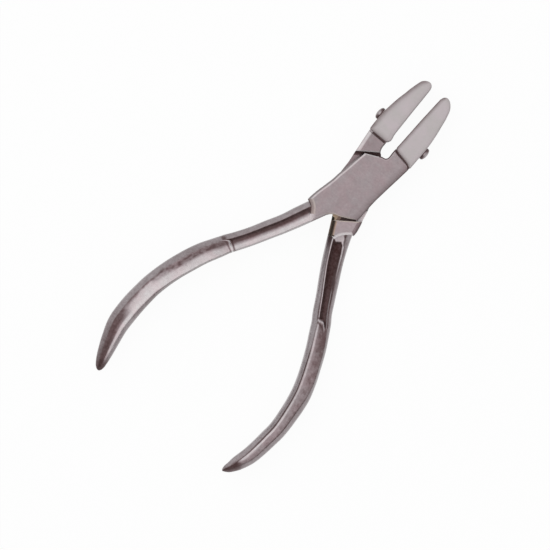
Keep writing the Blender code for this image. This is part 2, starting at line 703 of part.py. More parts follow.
def flared_hole(name):
    """Build the cutter for the rivet's seat in both cheeks, run out past their faces."""
    profile = rivet_profile(RIVET_SEAT_CLEARANCE)
    rim = profile[0][0] + OVERRUN
    ends = ((rim, -OVERRUN), (rim, BODY_THICKNESS + OVERRUN))
    return turned(name, (ends[0], *profile, ends[1]), RIVET_SIDES)


def box_lever(material):
    """Build the box lever: left handle, two cheeks with the window between, right jaw finger."""
    lever = box_body(material)
    combine(lever, handle_loft("left_handle", -1, LEFT_HANDLE_SHARES, LEFT_RIDGE_SHARES), "UNION")
    combine(lever, finger("right_finger", 1), "UNION")
    half = TONGUE_THICKNESS / 2 + TONGUE_SIDE_CLEARANCE
    window = prism("box_window", window_outline(), MID_HEIGHT - half, MID_HEIGHT + half)
    combine(lever, window, "DIFFERENCE")
    combine(lever, flared_hole("rivet_seat"), "DIFFERENCE")
    combine(lever, screw_hole("right_screw_hole", 1), "DIFFERENCE")
    return lever


def tongue_lever(material):
    """Build the tongue lever: right handle, thin tongue through the box, left jaw finger."""
    lever = tongue_body(material)
    handle = handle_loft("right_handle", 1, RIGHT_HANDLE_SHARES, RIGHT_RIDGE_SHARES)
    combine(lever, handle, "UNION")
    combine(lever, finger("left_finger", -1), "UNION")
    half = TONGUE_THICKNESS / 2
    band = shoulder_outline()
    upper = prism("upper_cheek_pocket", band, MID_HEIGHT + half, BODY_THICKNESS + OVERRUN)
    lower = prism("lower_cheek_pocket", band, -OVERRUN, MID_HEIGHT - half)
    combine(lever, upper, "DIFFERENCE")
    combine(lever, lower, "DIFFERENCE")
    bore = RIVET_RADIUS + RIVET_RUNNING_CLEARANCE
    profile = ((bore, -OVERRUN), (bore, BODY_THICKNESS + OVERRUN))
    combine(lever, turned("rivet_bore", profile, RIVET_SIDES), "DIFFERENCE")
    combine(lever, screw_hole("left_screw_hole", -1), "DIFFERENCE")
    return lever


def main():
    """Build the pliers and hang the moving lever's pieces on the pivot."""
    clear_scene()
    steel = principled("polished_steel", STEEL_COLOUR, LEVER_ROUGHNESS, 1.0)
    rivet_steel = principled("rivet_steel", STEEL_COLOUR, RIVET_ROUGHNESS, 1.0)
    screw_steel = principled("screw_steel", DARK_STEEL_COLOUR, SCREW_ROUGHNESS, 1.0)
    nylon = principled("grey_nylon", NYLON_COLOUR, NYLON_ROUGHNESS, 0.0)
    box_lever(steel)
    pad("right_jaw_pad", 1, nylon)
    screw("right_pad_screw", 1, screw_steel)
    turned("pivot_rivet", rivet_profile(0.0), RIVET_SIDES, rivet_steel)
    pivot = bpy.data.objects.new("jaw_pivot_axis", None)
    bpy.context.scene.collection.objects.link(pivot)
    moving = (tongue_lever(steel), pad("left_jaw_pad", -1, nylon),
              screw("left_pad_screw", -1, screw_steel))
    for piece in moving:
        piece.parent = pivot


main()
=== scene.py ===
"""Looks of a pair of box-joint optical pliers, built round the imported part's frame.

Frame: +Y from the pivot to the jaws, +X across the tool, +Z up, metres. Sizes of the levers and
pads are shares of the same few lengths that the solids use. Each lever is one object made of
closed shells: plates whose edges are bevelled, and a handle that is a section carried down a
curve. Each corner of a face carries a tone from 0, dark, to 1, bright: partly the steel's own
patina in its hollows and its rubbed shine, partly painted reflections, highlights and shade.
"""

import logging
import math
from dataclasses import dataclass, field
from enum import Enum
import bpy
import numpy as np
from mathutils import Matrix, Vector


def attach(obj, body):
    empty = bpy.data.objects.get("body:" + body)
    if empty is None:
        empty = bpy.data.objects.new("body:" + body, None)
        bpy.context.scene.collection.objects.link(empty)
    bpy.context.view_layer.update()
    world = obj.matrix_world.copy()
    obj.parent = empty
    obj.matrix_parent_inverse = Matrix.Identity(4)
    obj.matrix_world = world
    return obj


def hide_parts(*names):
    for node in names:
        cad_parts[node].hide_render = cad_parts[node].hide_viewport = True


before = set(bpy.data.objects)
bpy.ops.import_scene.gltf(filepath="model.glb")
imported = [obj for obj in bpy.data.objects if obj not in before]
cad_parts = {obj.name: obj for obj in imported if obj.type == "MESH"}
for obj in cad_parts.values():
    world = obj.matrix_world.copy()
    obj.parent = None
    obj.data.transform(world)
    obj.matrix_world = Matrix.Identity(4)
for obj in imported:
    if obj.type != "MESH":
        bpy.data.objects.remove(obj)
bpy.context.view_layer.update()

LOG = logging.getLogger("optical_pliers")
MM = 0.001

BODY_THICKNESS = 9.0 * MM
MID_HEIGHT = BODY_THICKNESS / 2
BOX_HALF_WIDTH = 7.5 * MM
BOX_HALF_LENGTH = 12.5 * MM
TONGUE_THICKNESS = 3.2 * MM
WINDOW_CLEARANCE = 0.1 * MM
TONGUE_EDGE_ANGLE = math.radians(38.0)
FLUSH_STEP = 0.01 * MM
PARALLEL = 1e-18
PICTURE_ROLL = math.radians(40.0)
POLISH_AND_SHADING = "polish"
BROWNING = "browning"

Rows = tuple[tuple[float, ...], ...]


class Side(Enum):
    """The side of the tool that a jaw or a handle is on, seen from above."""

    LEFT = -1
    RIGHT = 1


def smooth_line(points: np.ndarray, steps: int) -> np.ndarray:
    """Pass a Catmull-Rom curve through points.

    Between two points the curve is the cubic whose slope at each is half the way between its
    neighbours.

    Args:
        points: the points, one per row.
        steps: how many steps lie between two of them.

    Returns:
        The curve's points, both ends among them.
    """
    points = np.asarray(points, dtype=float)
    before = np.vstack((2.0 * points[0] - points[1], points[:-2]))[:, None]
    after = np.vstack((points[2:], 2.0 * points[-1] - points[-2]))[:, None]
    start, end = points[:-1, None], points[1:, None]
    t = (np.arange(steps) / steps)[None, :, None]
    curve = 0.5 * (2.0 * start + (end - before) * t
                   + (2.0 * before - 5.0 * start + 4.0 * end - after) * t ** 2
                   + (3.0 * start - before - 3.0 * end + after) * t ** 3)
    return np.vstack((curve.reshape(-1, points.shape[1]), points[-1]))


def share_line(shares: Rows, across: float, along: float, origin: tuple = (0.0, 0.0),
               steps: int = 10) -> np.ndarray:
    """Turn rows of (x, y) shares of two sizes, counted from an origin, into a smooth line."""
    return smooth_line(np.array(origin) + np.array(shares) * (across, along), steps)


def body_line(shares: Rows) -> np.ndarray:
    """Return a smooth line of a lever's body, from shares of the box's half sizes."""
    return share_line(shares, BOX_HALF_WIDTH, BOX_HALF_LENGTH)


def smoothstep(low: float, high: float, value: np.ndarray) -> np.ndarray:
    """Blend from 0 at low to 1 at high with level ends: t times t times (3 - 2t)."""
    t = np.clip((value - low) / (high - low), 0.0, 1.0)
    return t * t * (3.0 - 2.0 * t)


def read_table(rows: np.ndarray, where: np.ndarray) -> np.ndarray:
    """Read a table smoothly, without overshooting its values.

    Each span is a cubic whose end slopes are the harmonic means of the slopes beside them, or
    level where the table turns round.

    Args:
        rows: (key, value) rows with rising keys.
        where: the keys to read it at.

    Returns:
        The values there.
    """
    keys, values = np.asarray(rows, dtype=float).T
    spans = np.diff(keys)
    slopes = np.diff(values) / spans
    near = 2.0 * spans[1:] + spans[:-1]
    far = spans[1:] + 2.0 * spans[:-1]
    same_way = slopes[:-1] * slopes[1:] > 0.0
    first = np.where(same_way, slopes[:-1], 1.0)
    second = np.where(same_way, slopes[1:], 1.0)
    middle = np.where(same_way, (near + far) / (near / first + far / second), 0.0)
    tangents = np.concatenate(([slopes[0]], middle, [slopes[-1]]))
    index = np.clip(np.searchsorted(keys, where) - 1, 0, len(slopes) - 1)
    t = (where - keys[index]) / spans[index]
    return (values[index] * (2.0 * t ** 3 - 3.0 * t ** 2 + 1.0)
            + values[index + 1] * (3.0 * t ** 2 - 2.0 * t ** 3)
            + spans[index] * (tangents[index] * (t ** 3 - 2.0 * t ** 2 + t)
                              + tangents[index + 1] * (t ** 3 - t ** 2)))


def even_steps(line: np.ndarray, count: int) -> np.ndarray:
    """Space points evenly along a line of points.

    Args:
        line: the line's points.
        count: how many points are wanted.

    Returns:
        The evenly spaced points, both ends among them.
    """
    steps = np.linalg.norm(np.diff(line, axis=0), axis=1)
    travelled = np.concatenate(([0.0], np.cumsum(steps)))
    places = np.linspace(0.0, travelled[-1], count)
    return np.stack([np.interp(places, travelled, line[:, axis]) for axis in (0, 1)], axis=1)


def clip_line(line: np.ndarray, normal: np.ndarray, reach: float) -> np.ndarray:
    """Keep the stretch of a line whose distance along a normal is at least a reach.

    Args:
        line: points that cross the limit at most once.
        normal: the unit direction that distances are measured along.
        reach: the least distance that is kept.

    Returns:
        The kept points, with the crossing point as their end.
    """
    distance = line @ normal - reach
    inside = distance >= 0.0
    turns = np.nonzero(inside[1:] != inside[:-1])[0]
    if len(turns) == 0:
        return line
    i = turns[0]
    share = distance[i] / (distance[i] - distance[i + 1])
    crossing = line[i] + (line[i + 1] - line[i]) * share
    if inside[0]:
        return np.vstack((line[:i + 1], crossing))
    return np.vstack((crossing, line[i + 1:]))


def clip_outline(outline: np.ndarray, normal: np.ndarray, reach: float) -> np.ndarray:
    """Keep the part of a closed outline whose distance along a normal is at least a reach.

    Args:
        outline: the outline's points.
        normal: the unit direction that distances are measured along.
        reach: the least distance that is kept.

    Returns:
        The kept part's outline.
    """
    distance = outline @ normal - reach
    ahead = np.roll(distance, -1)
    crosses = (distance >= 0.0) != (ahead >= 0.0)
    share = np.where(crosses, distance / np.where(crosses, distance - ahead, 1.0), 0.0)
    cut = outline + (np.roll(outline, -1, axis=0) - outline) * share[:, None]
    points = np.stack((outline, cut), axis=1).reshape(-1, 2)
    kept = np.stack((distance >= 0.0, crosses), axis=1).reshape(-1)
    return points[kept]


def outline_area(outline: np.ndarray) -> float:
    """Return an outline's area, above zero where it runs anticlockwise."""
    x, y = outline.T
    return float(np.sum(x * np.roll(y, -1) - y * np.roll(x, -1))) / 2


def unfold(outline: np.ndarray, drawn: np.ndarray) -> np.ndarray:
    """Smooth out the folds of an outline drawn in past its tightest corners.

    Where a step of the drawn outline runs against the same step of the first one, its two ends
    move to the middle of their neighbours, until no step does.

    Args:
        outline: the closed outline.
        drawn: the same points drawn in.

    Returns:
        The drawn outline without folds.
    """
    steps = np.roll(outline, -1, axis=0) - outline
    for _ in range(200):
        against = np.sum((np.roll(drawn, -1, axis=0) - drawn) * steps, axis=1) <= 0.0
        if not against.any():
            break
        moved = (against | np.roll(against, 1))[:, None]
        middle = (np.roll(drawn, -1, axis=0) + np.roll(drawn, 1, axis=0)) / 2
        drawn = np.where(moved, middle, drawn)
    return drawn


def crossing_of(first: np.ndarray, second: np.ndarray) -> tuple[float, float, np.ndarray] | None:
    """Find the last place where one line of points crosses another.

    Each step of the one is set equal to each step of the other, and the two shares of the
    steps are solved for by cross products.

    Args:
        first: the one line's points.
        second: the other line's points.

    Returns:
        The crossing's place along each line, counted in steps, and its point, or None.
    """
    start_a, step_a = first[:-1, None], np.diff(first, axis=0)[:, None]
    start_b, step_b = second[None, :-1], np.diff(second, axis=0)[None]
    turn = step_a[..., 0] * step_b[..., 1] - step_a[..., 1] * step_b[..., 0]
    turn = np.where(np.abs(turn) < PARALLEL, np.nan, turn)
    gap = start_b - start_a
    t = (gap[..., 0] * step_b[..., 1] - gap[..., 1] * step_b[..., 0]) / turn
    u = (gap[..., 0] * step_a[..., 1] - gap[..., 1] * step_a[..., 0]) / turn
    hits = np.argwhere((t >= 0.0) & (t <= 1.0) & (u >= 0.0) & (u <= 1.0))
    if len(hits) == 0:
        return None
    i, j = hits[-1]
    return i + t[i, j], j + u[i, j], first[i] + np.diff(first, axis=0)[i] * t[i, j]


@dataclass
class Edge:
    """One side of a plate's outline, with the facets ground along it.

    The lines run anticlockwise round the plate. The side leans in by the lean over the fall,
    and above it a bevel reaches in by its width and up by its drop, flat or rounded. Its tone
    is a row of values at even steps from its outer line to its inner one, mostly painted
    highlights and painted shade; a dark side tone is painted shade in a gap.
    """

    line: np.ndarray
    width: float
    drop: float
    polish: tuple[float, ...] = (0.6,)
    side_polish_and_shading: float = 0.45
    lean: float = 0.05 * MM
    fall: float = 0.8 * MM
    lean_polish: float | None = None
    rounded: bool = False
    browning: float = 0.0
    run_on: float = 3.0 * MM

    def moved_in(self) -> np.ndarray:
        """Move the line in, square to itself, by its lean and its bevel's width.

        Returns:
            The bevel's inner line, run on straight past both ends.
        """
        tangents = np.gradient(self.line, axis=0)
        tangents /= np.linalg.norm(tangents, axis=1)[:, None]
        inward = np.stack((-tangents[:, 1], tangents[:, 0]), axis=1)
        moved = self.line + inward * (self.width + self.lean)
        return np.vstack((moved[0] - tangents[0] * self.run_on, moved,
                          moved[-1] + tangents[-1] * self.run_on))


@dataclass
class Shell:
    """A closed surface: points, faces of four corners, end faces and a tone for each corner: its
    own shine and painted shading.

    Browning is how straw-brown the whole surface is, or each face where quad_browning is given.
    """

    points: np.ndarray
    quads: np.ndarray
    quad_polish_and_shading: np.ndarray
    ends: list[np.ndarray]
    end_polish_and_shading: list[float]
    smooth: bool = False
    browning: float = 0.0
    quad_browning: np.ndarray | None = None


def ring_shell(rings: np.ndarray, polish: np.ndarray, ends: tuple[float, float]) -> Shell:
    """Skin closed rings of equal length one after the other and close both ends.

    Args:
        rings: points as (ring, place round it, 3).
        polish: the tone of each point as (ring, place), partly painted shading.
        ends: the tone of the first and the last end face.

    Returns:
        The shell, whose faces point outwards where the rings run anticlockwise and upwards.
    """
    count, round_count = rings.shape[:2]
    index = np.arange(count * round_count).reshape(count, round_count)
    ahead = np.roll(index, -1, axis=1)
    quads = np.stack((index[:-1], ahead[:-1], ahead[1:], index[1:]), axis=-1).reshape(-1, 4)
    return Shell(rings.reshape(-1, 3), quads, polish.reshape(-1)[quads],
                 [index[0][::-1], index[-1]], list(ends))


@dataclass
class Plate:
    """A flat plate between two heights, with bevels on its upper and lower edges."""

    edges: list[Edge]
    low: float
    high: float
    flat_polish: float = 0.5
    bevel_low: bool = True
    bevel_high: bool = True
    spacing: float = 0.25 * MM
    bevel_steps: int = 5

    def outline(self) -> np.ndarray:
        """Return the plate's whole outline."""
        return np.vstack([edge.line[:-1] for edge in self.edges])

    def inner_lines(self) -> list[np.ndarray]:
        """Work out the bevels' inner lines.

        Returns:
            One line for each edge, cut off where it meets its neighbours'.
        """
        moved = [edge.moved_in() for edge in self.edges]
        count = len(moved)
        starts, stops, corners = [0.0] * count, [0.0] * count, [None] * count
        for i in range(count):
            j = (i + 1) % count
            found = crossing_of(moved[i], moved[j])
            if found is None:
                point = (moved[i][-2] + moved[j][1]) / 2
                found = (len(moved[i]) - 2.0, 1.0, point)
            stops[i], starts[j], corners[i] = found
        lines = []
        for i, line in enumerate(moved):
            first, last = int(math.floor(starts[i])) + 1, int(math.ceil(stops[i]))
            lines.append(np.vstack((corners[i - 1], line[first:last], corners[i])))
        return lines

    def shell(self) -> Shell:
        """Build the plate from rings drawn in and up, from its mid height to both faces.

        A ring's points lie between the outline's and the bevel's inner line's. A flat bevel
        rises evenly and a rounded one along a quarter of an ellipse.

        Returns:
            The plate as one closed shell.
        """
        outer, inner, values, ramps = [], [], [], []
        turns = np.linspace(0.0, 1.0, self.bevel_steps + 1)[:, None]
        for edge, line in zip(self.edges, self.inner_lines()):
            length = np.sum(np.linalg.norm(np.diff(edge.line, axis=0), axis=1))
            count = max(int(length / self.spacing), 2) + 1
            outer.append(even_steps(edge.line, count)[:-1])
            inner.append(even_steps(line, count)[:-1])
            lean_polish = edge.side_polish_and_shading if edge.lean_polish is None else edge.lean_polish
            row = (edge.width, edge.drop, edge.lean, edge.fall, edge.side_polish_and_shading, lean_polish,
                   float(edge.rounded), edge.browning)
            values.append(np.tile(row, (count - 1, 1)))
            places = np.linspace(0.0, 1.0, len(edge.polish))
            ramps.append(np.tile(np.interp(turns, places, edge.polish), (1, count - 1)))
        outer, inner, ramp = np.vstack(outer), np.vstack(inner), np.hstack(ramps)
        width, drop, lean, fall, side, leaning, rounded, browning = np.vstack(values).T
        angle = turns * math.pi / 2
        along = np.where(rounded > 0.5, 1.0 - np.cos(angle), turns)
        sunk = np.where(rounded > 0.5, 1.0 - np.sin(angle), 1.0 - turns) * drop
        shares = np.vstack((np.zeros(len(width)), (lean + width * along) / (lean + width)))
        depths = np.vstack((drop + fall, sunk))
        bands = [(leaning, leaning), *zip(ramp[:-1], ramp[1:])]
        upper = outer + (inner - outer) * shares[..., None]
        rows, tones = [], []
        if self.bevel_low:
            rows += [np.column_stack((ring, self.low + depth))
                     for ring, depth in zip(upper[::-1], depths[::-1])]
            tones += [(end, start) for start, end in bands[::-1]]
        else:
            rows.append(np.column_stack((outer, np.full(len(outer), self.low))))
        tones.append((side, side))
        if self.bevel_high:
            rows += [np.column_stack((ring, self.high - depth))
                     for ring, depth in zip(upper, depths)]
            tones += bands
        else:
            rows.append(np.column_stack((outer, np.full(len(outer), self.high))))
        rings = np.stack(rows)
        made = ring_shell(rings, np.zeros(rings.shape[:2]), (self.flat_polish, self.flat_polish))
        made.quad_polish_and_shading = np.vstack([np.stack((start, start, end, end), axis=1)
                                      for start, end in tones])
        made.quad_browning = np.tile(browning, len(tones))
        return made


def waviness(first: np.ndarray, second: np.ndarray, wave: float, seed: int) -> np.ndarray:
    """Return an uneven surface of height about -1 to 1: a sum of sine waves in many directions.

    Args:
        first: one coordinate of each point, in metres.
        second: the other coordinate.
        wave: the middle wavelength, in metres.
        seed: what the directions and phases are drawn from.

    Returns:
        The height at each point.
    """
    draw = np.random.default_rng(seed)
    count, shortest, longest = 14, 0.6, 1.8
    angles = draw.uniform(0.0, math.tau, count)
    phases = draw.uniform(0.0, math.tau, count)
    pulls = math.tau / (wave * draw.uniform(shortest, longest, count))
    total = np.zeros(np.broadcast(first, second).shape)
    for angle, phase, pull in zip(angles, phases, pulls):
        total += np.sin(pull * (math.cos(angle) * first + math.sin(angle) * second) + phase)
    return total / math.sqrt(2.0 * count)


@dataclass
class Handle:
    """One handle: a fluted panel down to a collar, then a crowned grip between two ridges.

    Stations are (down, out, width) shares of the handle's length, spread and width. Ridges are
    (down in mm, outer ridge, inner ridge) rows, the ridges as shares of the half width. Zones
    are (down in mm, bands) pairs, and bands are (place, tone) rows, whose place is 0 to 1 on
    the outer side, to 2 on the outer facet, to 3 on the floor, to 4 on the inner facet and to 5
    on the inner side. The bands' light and dark stripes are painted reflections and painted
    shade, partly the steel's own dark patina in the flutes. The flute's head is (place in mm,
    further down in mm) rows. Collar marks are painted highlights and painted shadows along the
    collar, as (past the collar in mm, more of it for each mm outwards, spread in mm, amount, tone).
    """

    side: Side
    stations: Rows
    ridges: Rows
    panel: tuple
    grip: tuple
    flute_lean: float
    flute_top: float
    flute_head: Rows
    collar_down: float
    collar_drop: float
    collar_bend: tuple[float, float]
    collar_inner: float
    collar_outer: float
    collar_light_and_shadow: Rows
    patches: Rows
    seed: int
    length: float = 101.0 * MM
    spread: float = 32.0 * MM
    width: float = 7.29 * MM
    height: float = 9.0 * MM
    heights: Rows = (
        (0.139, 0.930), (0.198, 0.900), (0.298, 0.860), (0.405, 0.840), (0.430, 0.900),
        (0.550, 0.970), (0.680, 1.000), (0.780, 0.980), (0.860, 0.880), (0.920, 0.720),
        (0.960, 0.540), (0.996, 0.240))
    side_top: float = 0.58
    side_lean: float = 0.07
    facet_bulge: float = 0.03
    flute_depth: float = 0.7 * MM
    flute_run_in: float = 0.8 * MM
    collar_run_out: float = 0.6 * MM
    collar_fade: float = 0.6 * MM
    collar_blend: float = 0.4 * MM
    collar_bead: float = 0.16 * MM
    bead_place: float = 0.35 * MM
    bead_spread: float = 0.33 * MM
    crown_share: float = 0.06
    dent_full: float = 0.75
    dent_wave: float = 3.1 * MM
    dent_height: tuple[float, float] = (0.012 * MM, 0.014 * MM)
    dent_depth: tuple[float, float] = (0.02 * MM, 0.03 * MM)
    patch_spread: float = 1.1 * MM
    blot_wave: float = 1.5 * MM
    blot_stretch: float = 0.6
    blot_least: float = 0.35
    blot_span: tuple[float, float] = (-0.4, 0.8)
    tip_round: float = 1.9 * MM
    tip_close: float = 0.985
    tip_rings: int = 16
    rings: int = 440
    counts: tuple[int, ...] = (6, 12, 34, 12, 6)
    end_polish_and_shading: float = 0.4

    def places(self) -> np.ndarray:
        """Space the rings evenly down the handle, and by a sine in the domed tip.

        Returns:
            How far down the handle each ring lies.
        """
        start, end = self.stations[0][0] * self.length, self.stations[-1][0] * self.length
        run = np.linspace(start, end - self.tip_round, self.rings)
        turn = np.linspace(0.0, math.pi / 2, self.tip_rings)[1:]
        return np.concatenate((run, end - self.tip_round * (1.0 - np.sin(turn))))

    def columns(self) -> tuple[np.ndarray, np.ndarray]:
        """Number the columns of the upper half, from the outer side round to the inner.

        Returns:
            The group that each column is in, and its place in that group from 0 to 1.
        """
        groups = np.concatenate([np.full(count, i) for i, count in enumerate(self.counts)])
        places = np.concatenate([np.arange(count) / count for count in self.counts])
        return np.append(groups, len(self.counts) - 1), np.append(places, 1.0)

    def upper_half(self, downs: np.ndarray, half_width: np.ndarray,
                   half_height: np.ndarray) -> tuple[np.ndarray, np.ndarray]:
        """Work out the upper half of every section.

        From the outer side round to the inner: a side that leans in by the square of its rise,
        a slanting facet up to the outer ridge, the floor between the ridges, sunk by a leaning
        sine or raised into a crown, and the same facets back down.

        Args:
            downs: how far down the handle each ring lies.
            half_width: half of each ring's width.
            half_height: half of each ring's height.

        Returns:
            How far out and how far up each point lies, as (ring, column).
        """
        group, t = self.columns()
        rows = np.array(self.ridges)
        outer = read_table(rows[:, (0, 1)], downs / MM)[:, None]
        inner = read_table(rows[:, (0, 2)], downs / MM)[:, None]
        side, top = 1.0 - self.side_lean, self.side_top
        shape = np.sin(math.pi * t ** self.flute_lean)
        crown = 1.0 - (2.0 * t - 1.0) ** 2
        out = np.select(
            [group == 0, group == 1, group == 2, group == 3],
            [1.0 - self.side_lean * t ** 2, side + (outer - side) * t,
             outer + (inner - outer) * t, inner + (-side - inner) * t],
            -(1.0 - self.side_lean * (1.0 - t) ** 2))
        place = out * half_width[:, None]
        past = self.past_collar(downs, place)
        below = smoothstep(0.0, self.collar_run_out, past)
        sunk = smoothstep(0.0, self.flute_run_in, self.past_flute_top(downs, place))
        ridge_up = 1.0 - self.crown_share * below
        floor = (ridge_up + self.crown_share * below * crown
                 - self.flute_depth * sunk * (1.0 - below) * shape / half_height[:, None])
        bulge = self.facet_bulge * np.sin(math.pi * t)
        up = np.select(
            [group == 0, group == 1, group == 2, group == 3],
            [top * t + 0.0 * outer, top + (ridge_up - top) * t + bulge, floor,
             ridge_up + (top - ridge_up) * t + bulge], top * (1.0 - t))
        rise = up * half_height[:, None]
        bead = (self.collar_bead * self.collar_reach(place)
                * np.exp(-((past - self.bead_place) / self.bead_spread) ** 2))
        dents = waviness(downs[:, None], place, self.dent_wave, self.seed)
        height, depth = (on_panel + more * below
                         for on_panel, more in (self.dent_height, self.dent_depth))
        rise += smoothstep(top, self.dent_full, up) * (bead + height * dents - depth)
        for _ in range(2):
            place[:, 1:-1] = (place[:, :-2] + 2.0 * place[:, 1:-1] + place[:, 2:]) / 4
            rise[:, 1:-1] = (rise[:, :-2] + 2.0 * rise[:, 1:-1] + rise[:, 2:]) / 4
        return place, rise

    def past_collar(self, downs: np.ndarray, place: np.ndarray) -> np.ndarray:
        """Return how far past the collar each point lies; the collar drops on its outer half."""
        return (downs[:, None] - self.collar_down
                - self.collar_drop * smoothstep(*self.collar_bend, place))

    def collar_reach(self, place: np.ndarray) -> np.ndarray:
        """Return how strongly the collar shows at each place across the handle, 0 to 1."""
        return (smoothstep(self.collar_inner - self.collar_fade, self.collar_inner, place)
                - smoothstep(self.collar_outer, self.collar_outer + self.collar_fade, place))

    def head_shift(self, place: np.ndarray) -> np.ndarray:
        """Return how much further down the flute's head is at each place across the handle."""
        places, shifts = np.array(self.flute_head).T
        return np.interp(place / MM, places, shifts) * MM

    def past_flute_top(self, downs: np.ndarray, place: np.ndarray) -> np.ndarray:
        """Return how far past the flute's head each point lies."""
        return downs[:, None] - self.flute_top - self.head_shift(place)

    def zone_polish_and_shading(self, zones: tuple, downs: np.ndarray) -> np.ndarray:
        """Return the tone of zones of bands, painted reflections and shade, blended from each zone
        to the next.

        Args:
            zones: the panel's or the grip's zones.
            downs: how far down each point is read, as (ring, column).

        Returns:
            The tone of each point, as (ring, column).
        """
        group, t = self.columns()
        profiles = np.stack([np.interp(group + t, *np.array(bands).T) for _, bands in zones])
        keys = np.array([down for down, _ in zones]) * MM
        index = np.clip(np.searchsorted(keys, downs) - 1, 0, len(keys) - 2)
        share = smoothstep(0.0, 1.0, (downs - keys[index]) / (keys[index + 1] - keys[index]))
        column = np.arange(profiles.shape[1])
        return profiles[index, column] * (1.0 - share) + profiles[index + 1, column] * share

    def polish(self, downs: np.ndarray, place: np.ndarray) -> np.ndarray:
        """Work out each point's tone: its own shine and patina, and painted reflections and shade.

        It comes from the panel's zones down to the collar and the grip's below it. Light and
        dark marks run along the collar, a painted highlight between painted shadows, each a bell
        curve of the distance past it. Dull patches lie on the grip: a bell curve across it,
        blotched by an uneven surface.

        Args:
            downs: how far down the handle each ring lies.
            place: how far out each point lies, as (ring, column).

        Returns:
            The tone of each point, as (ring, column).
        """
        past = self.past_collar(downs, place)
        below = smoothstep(0.0, self.collar_blend, past)
        panel = self.zone_polish_and_shading(self.panel, downs[:, None] - self.head_shift(place))
        grip = self.zone_polish_and_shading(self.grip, downs[:, None] + 0.0 * place)
        rows = np.array(self.patches)
        amount = np.interp(downs / MM, rows[:, 0], rows[:, 1])[:, None]
        middle = np.interp(downs / MM, rows[:, 0], rows[:, 2])[:, None] * MM
        spread = np.exp(-((place - middle) / self.patch_spread) ** 2)
        blots = waviness(downs[:, None] * self.blot_stretch, place, self.blot_wave, self.seed + 1)
        blots = self.blot_least + (1.0 - self.blot_least) * smoothstep(*self.blot_span, blots)
        tone = panel + (grip - amount * spread * blots - panel) * below
        reach = self.collar_reach(place)
        # Each collar mark is a painted highlight or a painted shadow along the collar.
        for mark, slope, spread, amount, painted_mark_tone in self.collar_light_and_shadow:
            gap = (past - slope * place) / MM - mark
            tone = tone + (painted_mark_tone - tone) * amount * reach * np.exp(-(gap / spread) ** 2)
        return np.clip(tone, 0.0, 1.0)

    def shell(self) -> Shell:
        """Carry the section down the handle's curve, square to it, and close both ends.

        The tip's half width and height shrink by the square root of one minus the square of
        how far into the tip a ring lies.

        Returns:
            The handle as one closed shell.
        """
        table = np.array(self.stations)
        downs = self.places()
        shares = downs / self.length
        centre = self.side.value * self.spread * read_table(table[:, (0, 1)], shares)
        lean = np.gradient(centre, -downs)
        past = np.clip((downs - downs[-1] + self.tip_round) / self.tip_round, 0.0, 1.0)
        kept = np.sqrt(1.0 - past ** 2 * self.tip_close)
        half_width = kept * self.width / 2 * read_table(table[:, (0, 2)], shares)
        half_height = kept * self.height / 2 * read_table(self.heights, shares)
        place, rise = self.upper_half(downs, half_width, half_height)
        polish = self.polish(downs, place)
        place = np.hstack((place, place[:, -2:0:-1]))
        rise = np.hstack((rise, -rise[:, -2:0:-1]))
        polish = np.hstack((polish, polish[:, -2:0:-1]))
        outward = np.stack((np.ones_like(lean), -lean), axis=1) * self.side.value
        outward /= np.linalg.norm(outward, axis=1)[:, None]
        rings = np.stack((centre[:, None] + outward[:, :1] * place,
                          -downs[:, None] + outward[:, 1:] * place, MID_HEIGHT + rise), axis=-1)
        if self.side is Side.RIGHT:
            rings, polish = rings[:, ::-1], polish[:, ::-1]
        made = ring_shell(rings[::-1], polish[::-1], (self.end_polish_and_shading, self.end_polish_and_shading))
        made.smooth = True
        return made


def turned_shell(profile: Rows, sides: int, polish: float) -> Shell:
    """Turn a profile about the Z axis.

    Args:
        profile: (radius, height) pairs, upwards.
        sides: how many steps go round.
        polish: the tone all over.

    Returns:
        The turned shell.
    """
    angles = np.arange(sides) * math.tau / sides
    radius, height = np.array(profile).T
    rings = np.stack((radius[:, None] * np.cos(angles), radius[:, None] * np.sin(angles),
                      np.repeat(height[:, None], sides, axis=1)), axis=-1)
    return ring_shell(rings, np.full(rings.shape[:2], polish), (polish, polish))


def box_shell(outline: np.ndarray, low: float, high: float, polish: float = 0.4,
              browning: float = 0.0, side_polish_and_shading: float = 1.0) -> Shell:
    """Raise an outline into an upright prism.

    Args:
        outline: the anticlockwise outline.
        low: the lower face's height.
        high: the upper face's height.
        polish: the tone of both faces.
        browning: how straw-brown it is.
        side_polish_and_shading: the most that the sides' tone may be.

    Returns:
        The prism.
    """
    rings = np.stack([np.column_stack((outline, np.full(len(outline), z))) for z in (low, high)])
    sides = np.full(rings.shape[:2], min(polish, side_polish_and_shading))
    made = ring_shell(rings, sides, (polish, polish))
    made.browning = browning
    return made


